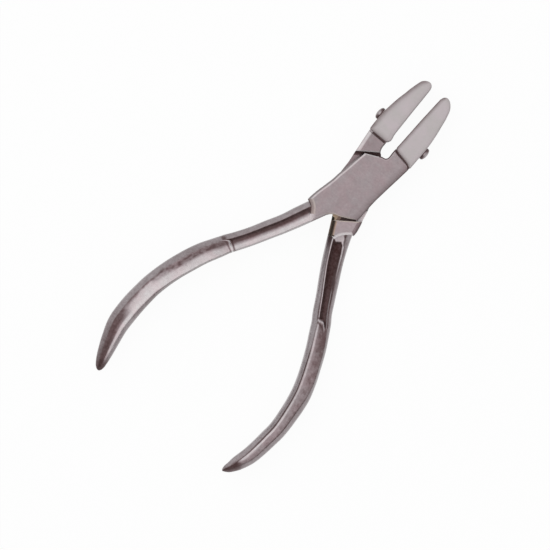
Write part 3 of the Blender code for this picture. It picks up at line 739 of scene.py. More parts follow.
def make_piece(name: str, shells: list[Shell], materials: list[bpy.types.Material],
               sharp: float = 28.0, choices: list[int] | None = None) -> bpy.types.Object:
    """Join shells into one object at the origin, with each corner's tone, its own shine and
    painted shading, as an attribute.

    Args:
        name: the piece's name.
        shells: its closed surfaces.
        materials: the finishes it has.
        sharp: the angle in degrees from which an edge is left sharp.
        choices: which of the materials each shell has.

    Returns:
        The new object.
    """
    points, faces, tones, browns, finishes, smooth = [], [], [], [], [], []
    first = 0
    for number, shell in enumerate(shells):
        points.append(shell.points)
        smooth.append(np.full(len(shell.points), shell.smooth))
        faces.extend((shell.quads + first).tolist())
        faces.extend((end + first).tolist() for end in shell.ends)
        tones.append(shell.quad_polish_and_shading.reshape(-1))
        tones.extend(np.full(len(end), tone) for end, tone in zip(shell.ends, shell.end_polish_and_shading))
        browned = shell.quad_browning
        browned = np.full(len(shell.quads), shell.browning) if browned is None else browned
        browns.append(np.repeat(browned, 4))
        browns.extend(np.full(len(end), shell.browning) for end in shell.ends)
        choice = choices[number] if choices else 0
        finishes.append(np.full(len(shell.quads) + len(shell.ends), choice))
        first += len(shell.points)
    mesh = bpy.data.meshes.new(name)
    mesh.from_pydata(np.vstack(points).tolist(), [], faces)
    for key, values in ((POLISH_AND_SHADING, tones), (BROWNING, browns)):
        attribute = mesh.attributes.new(key, "FLOAT", "CORNER")
        attribute.data.foreach_set("value", np.concatenate(values).astype(np.float32))
    for material in materials:
        mesh.materials.append(material)
    mesh.polygons.foreach_set("material_index", np.concatenate(finishes).astype(np.int32))
    mesh.shade_smooth()
    mesh.set_sharp_from_angle(angle=math.radians(sharp))
    if any(shell.smooth for shell in shells):
        ends = np.zeros(2 * len(mesh.edges), dtype=np.int32)
        mesh.edges.foreach_get("vertices", ends)
        marks = np.zeros(len(mesh.edges), dtype=bool)
        mesh.edges.foreach_get("use_edge_sharp", marks)
        marks &= ~np.concatenate(smooth)[ends.reshape(-1, 2)[:, 0]]
        mesh.edges.foreach_set("use_edge_sharp", marks)
    piece = bpy.data.objects.new(name, mesh)
    bpy.context.scene.collection.objects.link(piece)
    return piece


def carve(piece: bpy.types.Object, cutters: list[bpy.types.Object]) -> None:
    """Cut away the cutters' shapes from a piece for good, and remove the cutters.

    Args:
        piece: the object that is cut.
        cutters: the objects whose shapes are taken away.
    """
    for cutter in cutters:
        modifier = piece.modifiers.new(cutter.name, "BOOLEAN")
        modifier.operation = "DIFFERENCE"
        modifier.solver = "EXACT"
        modifier.object = cutter
    evaluated = piece.evaluated_get(bpy.context.evaluated_depsgraph_get())
    carved = bpy.data.meshes.new_from_object(evaluated)
    piece.modifiers.clear()
    piece.data = carved
    for cutter in cutters:
        bpy.data.objects.remove(cutter)


class Reading:
    """A value that varies over a surface, as a node's output that can be reckoned with."""

    def __init__(self, bench: "FinishBench", socket: bpy.types.NodeSocket) -> None:
        """Wrap a node's output."""
        self.bench = bench
        self.socket = socket

    def reckon(self, operation: str, *values: object) -> "Reading":
        """Add a Math node for an operation on some values."""
        return self.bench.node("ShaderNodeMath", {"operation": operation}, dict(enumerate(values)))

    def __add__(self, other: object) -> "Reading":
        """Return self + other."""
        return self.reckon("ADD", self, other)

    __radd__ = __add__

    def __sub__(self, other: object) -> "Reading":
        """Return self - other."""
        return self.reckon("SUBTRACT", self, other)

    def __rsub__(self, other: object) -> "Reading":
        """Return other - self."""
        return self.reckon("SUBTRACT", other, self)

    def __mul__(self, other: object) -> "Reading":
        """Return self * other."""
        return self.reckon("MULTIPLY", self, other)

    __rmul__ = __mul__

    def __or__(self, other: object) -> "Reading":
        """Return the larger of self and other."""
        return self.reckon("MAXIMUM", self, other)

    def size(self) -> "Reading":
        """Return the value without its sign."""
        return self.reckon("ABSOLUTE", self)

    def between(self, low: float, high: float) -> "Reading":
        """Blend smoothly from 0 at low to 1 at high."""
        return self.bench.node("ShaderNodeMapRange", {"interpolation_type": "SMOOTHSTEP"},
                               {"Value": self, "From Min": low, "From Max": high})


class FinishBench:
    """Where one finish is put together from nodes."""

    def __init__(self, owner: bpy.types.Material | bpy.types.World) -> None:
        """Empty a node tree, ready for new nodes.

        Args:
            owner: the material or world that the tree belongs to.
        """
        owner.use_nodes = True
        self.tree = owner.node_tree
        self.tree.nodes.clear()

    def node(self, kind: str, settings: dict[str, object] | None = None,
             sockets: dict[int | str, object] | None = None, output: int | str = 0) -> Reading:
        """Add a node.

        Args:
            kind: the node's type.
            settings: its properties, set first; stops are a ramp's (place, colour) pairs.
            sockets: what goes into its inputs, values or readings.
            output: which output is returned.

        Returns:
            That output.
        """
        made = self.tree.nodes.new(kind)
        for key, value in (settings or {}).items():
            if key == "stops":
                ramp = made.color_ramp.elements
                while len(ramp) < len(value):
                    ramp.new(0.5)
                for stop, (place, colour) in zip(ramp, value):
                    stop.position, stop.color = place, (*colour, 1.0)
            else:
                setattr(made, key, value)
        for key, value in (sockets or {}).items():
            if isinstance(value, Reading):
                self.tree.links.new(value.socket, made.inputs[key])
            else:
                made.inputs[key].default_value = value
        return Reading(self, made.outputs[output] if made.outputs else None)

    def place(self, stretch: tuple = (1.0, 1.0, 1.0), turn: float = 0.0) -> Reading:
        """Return the place on the object, turned about Z and stretched."""
        place = self.node("ShaderNodeTexCoord", output="Object")
        return self.node("ShaderNodeMapping", {"vector_type": "POINT"},
                         {"Vector": place, "Rotation": (0.0, 0.0, turn), "Scale": stretch})

    def noise(self, size: float, detail: float = 3.0, place: Reading | None = None,
              warp: float = 0.0) -> Reading:
        """Return noise from 0 to 1 whose lumps are about a size across, in metres."""
        return self.node("ShaderNodeTexNoise", {}, {
            "Vector": place or self.place(), "Scale": 1.0 / size, "Detail": detail,
            "Roughness": 0.6, "Distortion": warp})


@dataclass(frozen=True)
class Steel:
    """Forged steel: dark brown to bright by its tone, partly its own patina and rubbed shine,
    partly painted reflections, highlights and shade.
    """

    name: str
    patina_and_shade: tuple = (0.044, 0.021, 0.019)
    dull: tuple = (0.150, 0.105, 0.106)
    middle: tuple = (0.375, 0.322, 0.330)
    bright: tuple = (0.880, 0.850, 0.845)
    roughest: float = 0.40
    smoothest: float = 0.20
    mottling: float = 0.22
    mottle_size: float = 2.4 * MM
    dent: float = 0.03 * MM
    rosy: tuple = (1.00, 0.93, 0.95)
    cool: tuple = (0.95, 0.985, 0.99)
    straw: tuple = (1.05, 0.93, 0.66)
    oily: tuple = (0.62, 0.98, 0.74)
    spot_size: float = 0.7 * MM
    scratch_size: float = 1.0 * MM
    cloud_size: float = 5.0 * MM
    level_span: tuple[float, float] = (0.80, 0.98)
    cloud_span: tuple[float, float] = (0.35, 0.65)
    stain_span: tuple[float, float] = (0.08, 0.35)

    def make(self) -> bpy.types.Material:
        """Make the material: tone from the attribute of shine and painted shading, and mottling,
        with fine scratches both ways.

        Leaning faces, and patches of the level ones, are tinted cool and the others rosy, a painted
        reflection colour by facing.
        Browned ones are tinted straw where they are bright and oily where they are dark.

        Returns:
            The material.
        """
        material = bpy.data.materials.new(self.name)
        bench = FinishBench(material)
        polish = bench.node("ShaderNodeAttribute", {"attribute_name": POLISH_AND_SHADING}, output="Fac")
        lumps = bench.noise(self.mottle_size, 4.0, warp=0.6)
        spots = bench.noise(self.spot_size, 3.0)
        lines = bench.noise(self.scratch_size, 2.0, bench.place((0.05, 4.0, 1.0), 0.5))
        cross = bench.noise(self.scratch_size, 2.0, bench.place((4.0, 0.08, 1.0), -0.2))
        scratches = (lines - 0.5).size() + (cross - 0.5).size()
        tone = (polish + (lumps - 0.5) * self.mottling + (spots - 0.5) * (self.mottling * 0.9)
                + (lines - 0.5) * 0.05)
        # The ramp's dark end serves patina and painted shade, its bright end rubbed shine and
        # painted highlights and reflections.
        colour = bench.node("ShaderNodeValToRGB", {"stops": (
            (0.0, self.patina_and_shade), (0.25, self.dull), (0.5, self.middle), (1.0, self.bright))},
            {"Fac": tone})
        # Tinting faces by how they lean is a painted reflection colour.
        facing = bench.node("ShaderNodeTexCoord", output="Normal")
        level = bench.node("ShaderNodeSeparateXYZ", {}, {0: facing}, "Z").size()
        clouds = bench.noise(self.cloud_size, 3.0).between(*self.cloud_span)
        tint = bench.node("ShaderNodeMix", {"data_type": "RGBA"}, {
            0: level.between(*self.level_span) * (0.35 + clouds * 0.65), 6: (*self.cool, 1.0),
            7: (*self.rosy, 1.0)}, 2)
        colour = bench.node("ShaderNodeMix", {"data_type": "RGBA", "blend_type": "MULTIPLY"}, {
            0: 1.0, 6: colour, 7: tint}, 2)
        browned = bench.node("ShaderNodeAttribute", {"attribute_name": BROWNING}, output="Fac")
        stain = bench.node("ShaderNodeMix", {"data_type": "RGBA"}, {
            0: polish.between(*self.stain_span), 6: (*self.oily, 1.0), 7: (*self.straw, 1.0)}, 2)
        colour = bench.node("ShaderNodeMix", {"data_type": "RGBA", "blend_type": "MULTIPLY"}, {
            0: browned * (0.6 + lumps * 0.8), 6: colour, 7: stain}, 2)
        roughness = (self.roughest + polish * (self.smoothest - self.roughest)
                     + (lumps - 0.5) * 0.12 + scratches * 0.10)
        relief = lumps * 1.0 + spots * 0.25 + scratches * 0.08
        normal = bench.node("ShaderNodeBump", {}, {
            "Strength": 0.5, "Distance": self.dent, "Height": relief})
        shader = bench.node("ShaderNodeBsdfPrincipled", {}, {
            "Base Color": colour, "Roughness": roughness, "Metallic": 1.0, "Normal": normal})
        bench.node("ShaderNodeOutputMaterial", {}, {"Surface": shader})
        return material


@dataclass(frozen=True)
class Nylon:
    """Moulded nylon, satin, its edges dirtied and darkened as painted shade; the tone attribute
    says how much.
    """

    name: str = "grey_nylon"
    fair: tuple = (0.600, 0.530, 0.550)
    shade: tuple = (0.555, 0.512, 0.512)
    soiled_and_shaded: tuple = (0.130, 0.080, 0.082)
    roughness: float = 0.46
    cloud_size: float = 6.0 * MM
    blot_size: float = 1.6 * MM
    grain_size: float = 0.35 * MM
    dent: float = 0.03 * MM
    cloud_span: tuple[float, float] = (0.35, 0.65)
    level_span: tuple[float, float] = (0.0, 0.7)
    rim_shade: float = 0.4

    def make(self) -> bpy.types.Material:
        """Make the material: faint clouds in the colour, edges darkened by dirt and painted shade,
        a fine moulded grain.

        Returns:
            The material.
        """
        material = bpy.data.materials.new(self.name)
        bench = FinishBench(material)
        clouds = bench.noise(self.cloud_size, 4.0)
        blots = bench.noise(self.blot_size, 3.0)
        grain = bench.noise(self.grain_size, 2.0)
        facing = bench.node("ShaderNodeTexCoord", output="Normal")
        level = bench.node("ShaderNodeSeparateXYZ", {}, {0: facing}, "Z").size()
        soil_and_shade = bench.node("ShaderNodeAttribute", {"attribute_name": POLISH_AND_SHADING}, output="Fac")
        # Faces that lean away from level are darkened: painted shade on the rounded edges and
        # sides.
        rim = soil_and_shade | (1.0 - level.between(*self.level_span)) * self.rim_shade
        base = bench.node("ShaderNodeMix", {"data_type": "RGBA"}, {
            0: clouds.between(*self.cloud_span), 6: (*self.shade, 1.0),
            7: (*self.fair, 1.0)}, 2)
        colour = bench.node("ShaderNodeMix", {"data_type": "RGBA"}, {
            0: rim * (0.65 + blots * 0.7), 6: base, 7: (*self.soiled_and_shaded, 1.0)}, 2)
        bump = bench.node("ShaderNodeBump", {}, {
            "Strength": 0.35, "Distance": self.dent, "Height": grain + clouds})
        shader = bench.node("ShaderNodeBsdfPrincipled", {}, {
            "Base Color": colour, "Roughness": self.roughness + (grain - 0.5) * 0.1,
            "Normal": bump})
        bench.node("ShaderNodeOutputMaterial", {}, {"Surface": shader})
        return material


BOX_LEFT_SIDE = (
    (-0.827, 0.744), (-0.913, 0.440), (-0.995, 0.120), (-1.060, -0.080), (-1.110, -0.304),
    (-1.200, -0.544), (-1.295, -0.784), (-1.357, -1.000), (-1.373, -1.120))
BOX_ROOT_END = (
    (-1.373, -1.120), (-1.187, -1.168), (-1.067, -1.224), (-0.987, -1.288), (-0.880, -1.384),
    (-0.733, -1.504), (-0.640, -1.536))
BOX_LOWER_SIDE = (
    (-0.640, -1.536), (-0.485, -1.344), (-0.380, -1.216), (-0.295, -1.116), (-0.220, -1.056),
    (-0.133, -1.008), (0.000, -0.964), (0.200, -0.928), (0.400, -0.872), (0.600, -0.808),
    (0.760, -0.752), (0.893, -0.712))
BOX_RIGHT_SIDE = (
    (0.893, -0.712), (0.913, -0.480), (0.920, -0.240), (0.943, 0.000), (0.987, 0.240),
    (1.033, 0.480), (1.083, 0.720), (1.131, 0.960), (1.163, 1.144))
BOX_JAW_END = (
    (1.163, 1.144), (1.080, 1.192), (0.940, 1.220), (0.667, 1.252), (0.400, 1.272),
    (0.260, 1.296), (0.155, 1.328))
BOX_UPPER_SIDE = (
    (0.155, 1.328), (0.158, 1.200), (0.166, 1.110), (0.150, 1.045), (0.095, 1.000),
    (0.010, 0.982), (-0.085, 0.972), (-0.160, 0.945), (-0.267, 0.900), (-0.533, 0.824),
    (-0.827, 0.744))
TONGUE_LEFT_SIDE = (
    (-1.247, 1.288), (-1.196, 1.000), (-1.155, 0.800), (-1.130, 0.656), (-1.100, 0.520),
    (-1.060, 0.320), (-1.050, 0.120))
TONGUE_NECK_END = (
    (0.293, -1.488), (0.480, -1.490), (0.633, -1.480), (0.680, -1.412), (0.727, -1.344),
    (0.793, -1.280), (0.880, -1.222), (0.987, -1.164), (1.093, -1.116), (1.195, -1.088))
TONGUE_RIGHT_SIDE = (
    (1.195, -1.088), (1.200, -1.000), (1.173, -0.880), (1.123, -0.736), (1.056, -0.608),
    (1.016, -0.496), (0.973, -0.384), (0.913, -0.240), (0.905, -0.080))
TONGUE_JAW_INNER = (
    (0.00, 0.00), (0.30, 0.06), (0.56, 0.15), (0.80, 0.30), (0.95, 0.50), (1.02, 0.76),
    (1.00, 1.00))


@dataclass
class PadShape:
    """The outline of one pad and its finger, as shares of the pad's width and length."""

    side: Side
    grip_offset: float
    front: Rows
    tip: Rows
    back: Rows
    base: Rows
    finger: Rows
    screw_along: float
    seat_offset: float
    soil_and_shade: float
    soil_and_shade_reach: float
    least_soil_and_shade_share: float = 0.20
    width: float = 7.8 * MM
    length: float = 24.3 * MM
    base_y: float = 16.6 * MM
    thickness: float = 9.0 * MM
    edge_round: float = 0.6 * MM
    flat_rings: tuple[float, ...] = (0.2, 0.5, 0.72, 0.85, 0.93, 0.975)
    draw_in: float = 0.03 * MM
    corner_reach: float = 0.8 * MM
    web: float = 3.0 * MM
    finger_thickness: float = 4.8 * MM
    fit: float = 0.15 * MM
    end_gap: float = 0.3 * MM
    cut_past: float = 4.0 * MM
    spacing: float = 0.22 * MM
    corner_steps: int = 8
    left_span: tuple[float, float] = (0.0, 0.8)
    base_span: tuple[float, float] = (0.3, 0.9)
    base_soil_and_shade: float = 0.6
    soil_and_shade_power: float = 1.5
    channel_soil: float = 0.15

    def origin(self) -> tuple[float, float]:
        """Return where the gripping face meets the base."""
        return self.side.value * self.grip_offset, self.base_y

    def line(self, shares: Rows) -> np.ndarray:
        """Return a smooth line from the pad's shares."""
        return share_line(shares, self.side.value * self.width, self.length, self.origin(), 12)

    def outline(self) -> np.ndarray:
        """Join the pad's lines, its two base corners rounded by quadratic curves.

        Returns:
            The pad's outline, anticlockwise.
        """
        up = np.vstack((self.line(self.front)[:-1], self.line(self.tip)[:-1], self.line(self.back)))
        base = self.line(self.base)
        parts = []
        for line in (up, base):
            steps = np.linalg.norm(np.diff(line, axis=0), axis=1)
            travelled = np.concatenate(([0.0], np.cumsum(steps)))
            places = np.linspace(self.corner_reach, travelled[-1] - self.corner_reach,
                                 max(int(travelled[-1] / self.spacing), 4))
            parts.append(np.stack([np.interp(places, travelled, line[:, k]) for k in (0, 1)], 1))
        t = np.linspace(0.0, 1.0, self.corner_steps)[1:-1, None]
        outline = []
        for line, corner, after in ((parts[0], base[0], parts[1]), (parts[1], up[0], parts[0])):
            curve = line[-1] * (1 - t) ** 2 + corner * 2 * t * (1 - t) + after[0] * t ** 2
            outline += [line, curve]
        outline = np.vstack(outline)
        return outline if self.side is Side.LEFT else outline[::-1]

    def finger_outline(self) -> np.ndarray:
        """Close the finger's outer line by a straight inner side behind the web of nylon.

        Returns:
            The steel finger's outline, anticlockwise.
        """
        outer = self.line(self.finger)
        inner_x = self.origin()[0] + self.side.value * self.web
        outline = np.vstack((outer, (inner_x, outer[-1][1]), (inner_x, outer[0][1])))
        return outline if self.side is Side.RIGHT else outline[::-1]

    def finger_shell(self) -> Shell:
        """Build the steel finger that carries the pad."""
        half = self.finger_thickness / 2
        return box_shell(self.finger_outline(), MID_HEIGHT - half, MID_HEIGHT + half)

    def screw_place(self) -> Vector:
        """Return the middle of the screw's seat."""
        return Vector((self.side.value * self.seat_offset, self.base_y + self.screw_along,
                       MID_HEIGHT))

    def pad_shell(self) -> Shell:
        """Build the pad: its outline drawn in along a quarter round at both faces.

        Soiling and painted shade fall off with the distance from the outline, as the share of the
        reach that is left to a power. They are strongest where the outline faces left, the side
        painted in shade, less at the base.

        Returns:
            The pad without its channel.
        """
        outline = self.outline()
        tangents = np.roll(outline, -1, axis=0) - np.roll(outline, 1, axis=0)
        tangents /= np.linalg.norm(tangents, axis=1)[:, None]
        inward = np.stack((-tangents[:, 1], tangents[:, 0]), axis=1)
        outline = outline + inward * self.draw_in
        turn = np.linspace(0.0, math.pi / 2, 10)
        draw = self.edge_round * (1.0 - np.sin(turn))
        rise = self.edge_round * (1.0 - np.cos(turn))
        low, high = MID_HEIGHT - self.thickness / 2, MID_HEIGHT + self.thickness / 2
        drawn = [unfold(outline, outline + inward * d) for d in draw]
        middle = drawn[0].mean(axis=0)
        flats = [middle + (drawn[0] - middle) * share for share in self.flat_rings]
        drawn = np.stack(flats + drawn)
        rise = np.concatenate((np.zeros(len(flats)), rise))
        gaps = np.linalg.norm(drawn[:, :, None] - outline, axis=-1).min(axis=2)
        # Edges facing left, and less those facing the base, are darkened most: painted shade on
        # those sides, with some dirt.
        faced = np.maximum(smoothstep(*self.left_span, inward[:, 0]),
                           self.base_soil_and_shade * smoothstep(*self.base_span, inward[:, 1]))
        soil_and_shade = (self.soil_and_shade * (self.least_soil_and_shade_share + (1.0 - self.least_soil_and_shade_share) * faced)
                * np.clip(1.0 - gaps / self.soil_and_shade_reach, 0.0, 1.0) ** self.soil_and_shade_power)
        rows = [np.column_stack((ring, np.full(len(ring), low + r)))
                for ring, r in zip(drawn, rise)]
        rows += [np.column_stack((ring, np.full(len(ring), high - r)))
                 for ring, r in zip(drawn[::-1], rise[::-1])]
        return ring_shell(np.stack(rows), np.vstack((soil_and_shade, soil_and_shade[::-1])), (0.0, 0.0))

    def channel_shell(self) -> Shell:
        """Build the cutter for the channel that the finger lies in.

        Returns:
            A block that leaves room round the finger and reaches out past the pad.
        """
        half = self.finger_thickness / 2 + self.fit
        side = self.side.value
        face, base = self.origin()
        inner = face + side * (self.web - self.end_gap)
        outer = face + side * (self.width + self.cut_past)
        low, high = base - self.cut_past, self.finger_outline()[:, 1].max() + self.end_gap
        outline = np.array(((min(inner, outer), low), (max(inner, outer), low),
                            (max(inner, outer), high), (min(inner, outer), high)))
        return box_shell(outline, MID_HEIGHT - half, MID_HEIGHT + half, self.channel_soil)

    def outwards(self, shell: Shell, offset: float) -> Shell:
        """Lay a turned shell down so that its top points out from the screw's seat.

        Args:
            shell: the shell, upright on the Z axis.
            offset: how far out from the seat it is set.

        Returns:
            The same shell, laid down.
        """
        x, y, z = shell.points.T
        side = self.side.value
        place = self.screw_place()
        out = side * (z + offset) + place.x
        shell.points = np.stack((out, y + place.y, -side * x + place.z), 1)
        return shell


@dataclass
class JawPad:
    """A nylon pad with its screw."""

    shape: PadShape
    body: str
    head_radius: float = 2.1 * MM
    head_height: float = 1.55 * MM
    rim_share: float = 0.34
    patch_up: float = 0.45
    patch_spread: float = 0.25
    patch_half: float = 0.9 * MM
    shank_radius: float = 1.0 * MM
    shank_length: float = 6.3 * MM
    seat_gap: float = 0.3 * MM
    seat_margin: float = 0.4 * MM
    slot_width: float = 0.6 * MM
    slot_depth: float = 0.6 * MM
    slot_past: float = 2.0 * MM
    cut_past: float = 4.0 * MM
    tip_chamfer: float = 0.3 * MM
    apex_radius: float = 0.05 * MM
    rim_steps: tuple[float, ...] = (0.0, 0.35, 0.7)
    dome_steps: int = 18
    seat_sides: int = 64
    screw_sides: int = 72
    seat_soil: float = 0.6
    shank_polish: float = 0.14
    rim_shade_tone: float = 0.11
    highlight_tone: float = 0.54
    apex_tone: float = 0.34
    apex_span: tuple[float, float] = (0.45, 0.92)
    sharp: float = 40.0

    def name(self, what: str) -> str:
        """Return a piece's name on this side."""
        return f"{self.shape.side.name.lower()}_{what}"

    def build_pad(self, nylon: bpy.types.Material) -> bpy.types.Object:
        """Make the pad, cut its channel and its screw's seat.

        Args:
            nylon: the pad's finish.

        Returns:
            The pad.
        """
        shape = self.shape
        pad = make_piece(self.name("nylon_pad"), [shape.pad_shell()], [nylon], self.sharp)
        channel = make_piece(self.name("channel"), [shape.channel_shell()], [nylon])
        seat_radius = self.head_radius + self.seat_margin
        profile = ((seat_radius, 0.0), (seat_radius, self.cut_past))
        bore = turned_shell(profile, self.seat_sides, self.seat_soil)
        seat = make_piece(self.name("seat"), [shape.outwards(bore, 0.0)], [nylon])
        carve(pad, [channel, seat])
        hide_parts(self.name("jaw_pad"))
        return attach(pad, self.body)

    def build_screw(self, steel: bpy.types.Material) -> bpy.types.Object:
        """Make the screw: a domed, slotted head on a plain shank.

        Its tone is painted light: painted shade at its seat, a bell-shaped painted highlight half
        way up, and a grey apex.

        Args:
            steel: the screw's finish.

        Returns:
            The screw.
        """
        turns = np.linspace(0.0, math.pi / 2, self.dome_steps)
        radius = np.maximum(self.head_radius * np.cos(turns), self.apex_radius)
        height = self.head_height * (self.rim_share + (1.0 - self.rim_share) * np.sin(turns))
        tip = self.shank_radius - self.tip_chamfer
        rim = [(self.head_radius, share * height[0]) for share in self.rim_steps]
        profile = [(tip, -self.shank_length),
                   (self.shank_radius, self.tip_chamfer - self.shank_length),
                   (self.shank_radius, 0.0), *rim, *zip(radius, height)]
        head = turned_shell(tuple(profile), self.screw_sides, self.shank_polish)
        # The head's tone paints a highlight half way up the dome and shade at its rim.
        across = head.points[:, 1] / self.patch_half
        share = head.points[:, 2] / self.head_height
        painted_highlight = np.exp(-across ** 2 - ((share - self.patch_up) / self.patch_spread) ** 2)
        painted_light_tone = (self.rim_shade_tone + self.highlight_tone * painted_highlight
                + self.apex_tone * smoothstep(*self.apex_span, share))
        head.quad_polish_and_shading = np.clip(painted_light_tone, 0.0, 1.0)[head.quads]
        shell = self.shape.outwards(head, self.seat_gap)
        screw = make_piece(self.name("domed_screw"), [shell], [steel])
        half, far = self.slot_width / 2, self.head_radius + self.slot_past
        outline = np.array(((-half, -far), (half, -far), (half, far), (-half, far)))
        slot = box_shell(outline, self.head_height - self.slot_depth, self.cut_past)
        cutter = make_piece(self.name("slot"), [self.shape.outwards(slot, self.seat_gap)], [steel])
        carve(screw, [cutter])
        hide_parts(self.name("pad_screw"))
        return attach(screw, self.body)


@dataclass
class BoxLever:
    """The lever whose two cheeks stand over and under the tongue, with the left handle."""

    handle: Handle
    pad: PadShape
    tongue_edge_angle: float = TONGUE_EDGE_ANGLE
    jaw_reach: float = 6.8 * MM
    handle_reach: float = 8.6 * MM
    closed: float = math.radians(-6.0)
    opened: float = math.radians(24.0)
    stop_angle: float = math.radians(201.0)
    stop_reach: float = 6.58 * MM
    root_split: float = 6.7 * MM
    lower_split: float = 1.6 * MM
    notch_split: float = 1.4 * MM
    lip_reach: float = 0.55 * MM
    lip_depth: float = 0.5 * MM
    lip_inset: float = 1.0 * MM
    lip_shade_tone: float = 0.12
    block_overlap: float = 0.1 * MM
    block_polish: float = 0.3

    def edges(self) -> list[Edge]:
        """List the cheeks' sides with their bevels.

        Returns:
            The edges, anticlockwise from the upper left.
        """
        root, upper = body_line(BOX_ROOT_END), body_line(BOX_UPPER_SIDE)
        lower = body_line(BOX_LOWER_SIDE)
        right = np.array((1.0, 0.0))
        # The bevels' tone rows paint highlights and shade: light on the left-facing bevels, darker
        # on the right side's rounding, and the darkest side walls, at the root, the notch and the
        # jaw end, are painted shade in the gaps.
        return [
            Edge(body_line(BOX_LEFT_SIDE), 0.60 * MM, 0.1 * MM, (0.64, 0.76, 0.64), 0.40,
                 lean=0.55 * MM, fall=1.2 * MM, lean_polish=0.38),
            Edge(clip_line(root, -right, self.root_split), 1.6 * MM, 0.4 * MM,
                 (0.06, 0.42, 0.46, 0.50, 0.64, 0.60), 0.10, browning=0.25),
            Edge(clip_line(root, right, -self.root_split), 1.9 * MM, 0.15 * MM,
                 (0.78, 0.72, 0.62, 0.54), 0.60),
            Edge(clip_line(lower, -right, self.lower_split), 0.8 * MM, 0.3 * MM,
                 (0.34, 0.50, 0.66, 0.60, 0.54), 0.30),
            Edge(clip_line(lower, right, -self.lower_split), 0.45 * MM, 0.2 * MM,
                 (0.66, 0.66, 0.56), 0.35, browning=0.25),
            Edge(body_line(BOX_RIGHT_SIDE), 2.3 * MM, 0.35 * MM, (0.28, 0.37, 0.41, 0.45, 0.49),
                 0.25, rounded=True),
            Edge(body_line(BOX_JAW_END), 0.2 * MM, 0.2 * MM, (0.5,), 0.08),
            Edge(clip_line(upper, right, -self.notch_split), 0.55 * MM, 0.25 * MM,
                 (0.06, 0.12, 0.56, 0.62), 0.05),
            Edge(clip_line(upper, -right, self.notch_split), 0.35 * MM, 0.2 * MM,
                 (0.66, 0.60), 0.05),
        ]

    def lip(self) -> Shell:
        """Build the sunk ledge under the gap at the right pad's base; its dark tone is painted
        shade.

        Returns:
            The ledge, which runs back into the cheeks.
        """
        line = body_line(BOX_JAW_END)
        over = line + (0.0, self.lip_reach)
        outline = np.vstack((line[1:-1] - (0.0, self.lip_inset), over[-2:0:-1]))
        return box_shell(outline, self.lip_depth, BODY_THICKNESS - self.lip_depth,
                         self.lip_shade_tone)

    def end_block(self, outline: np.ndarray, sign: float, reach: float) -> np.ndarray:
        """Work out the solid end between the cheeks, at the jaws or at the handle.

        It keeps clear of the tongue over the joint's range, and at the handle's end of the
        tongue's neck where the jaws are closed.

        Args:
            outline: the cheeks' outline.
            sign: 1 for the end at the jaws, -1 for the end at the handle.
            reach: how far from the pivot the window ends there.

        Returns:
            The solid end's outline.
        """
        for turn in (self.closed, self.opened):
            angle = self.tongue_edge_angle + turn
            normal = sign * np.array((math.cos(angle), math.sin(angle)))
            outline = clip_outline(outline, normal, reach)
        if sign > 0.0:
            return outline
        stop = np.array((math.cos(self.stop_angle), math.sin(self.stop_angle)))
        return clip_outline(outline, stop, self.stop_reach)

    def build(self, steels: list[bpy.types.Material]) -> bpy.types.Object:
        """Make the lever as one object.

        Args:
            steels: the handle's finish and the flat parts'.

        Returns:
            The lever.
        """
        half = TONGUE_THICKNESS / 2 + WINDOW_CLEARANCE
        edges = self.edges()
        upper = Plate(edges, MID_HEIGHT + half, BODY_THICKNESS - FLUSH_STEP, bevel_low=False)
        lower = Plate(edges, FLUSH_STEP, MID_HEIGHT - half, bevel_high=False)
        outline = upper.outline()
        blocks = [box_shell(self.end_block(outline, sign, reach),
                            MID_HEIGHT - half - self.block_overlap,
                            MID_HEIGHT + half + self.block_overlap, self.block_polish)
                  for sign, reach in ((1.0, self.jaw_reach), (-1.0, self.handle_reach))]
        shells = [upper.shell(), lower.shell(), *blocks, self.lip(), self.pad.finger_shell(),
                  self.handle.shell()]
        lever = make_piece("box_lever_steel", shells, steels, choices=[1, 1, 1, 1, 1, 1, 0])
        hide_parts("box_lever")
        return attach(lever, "box_lever")


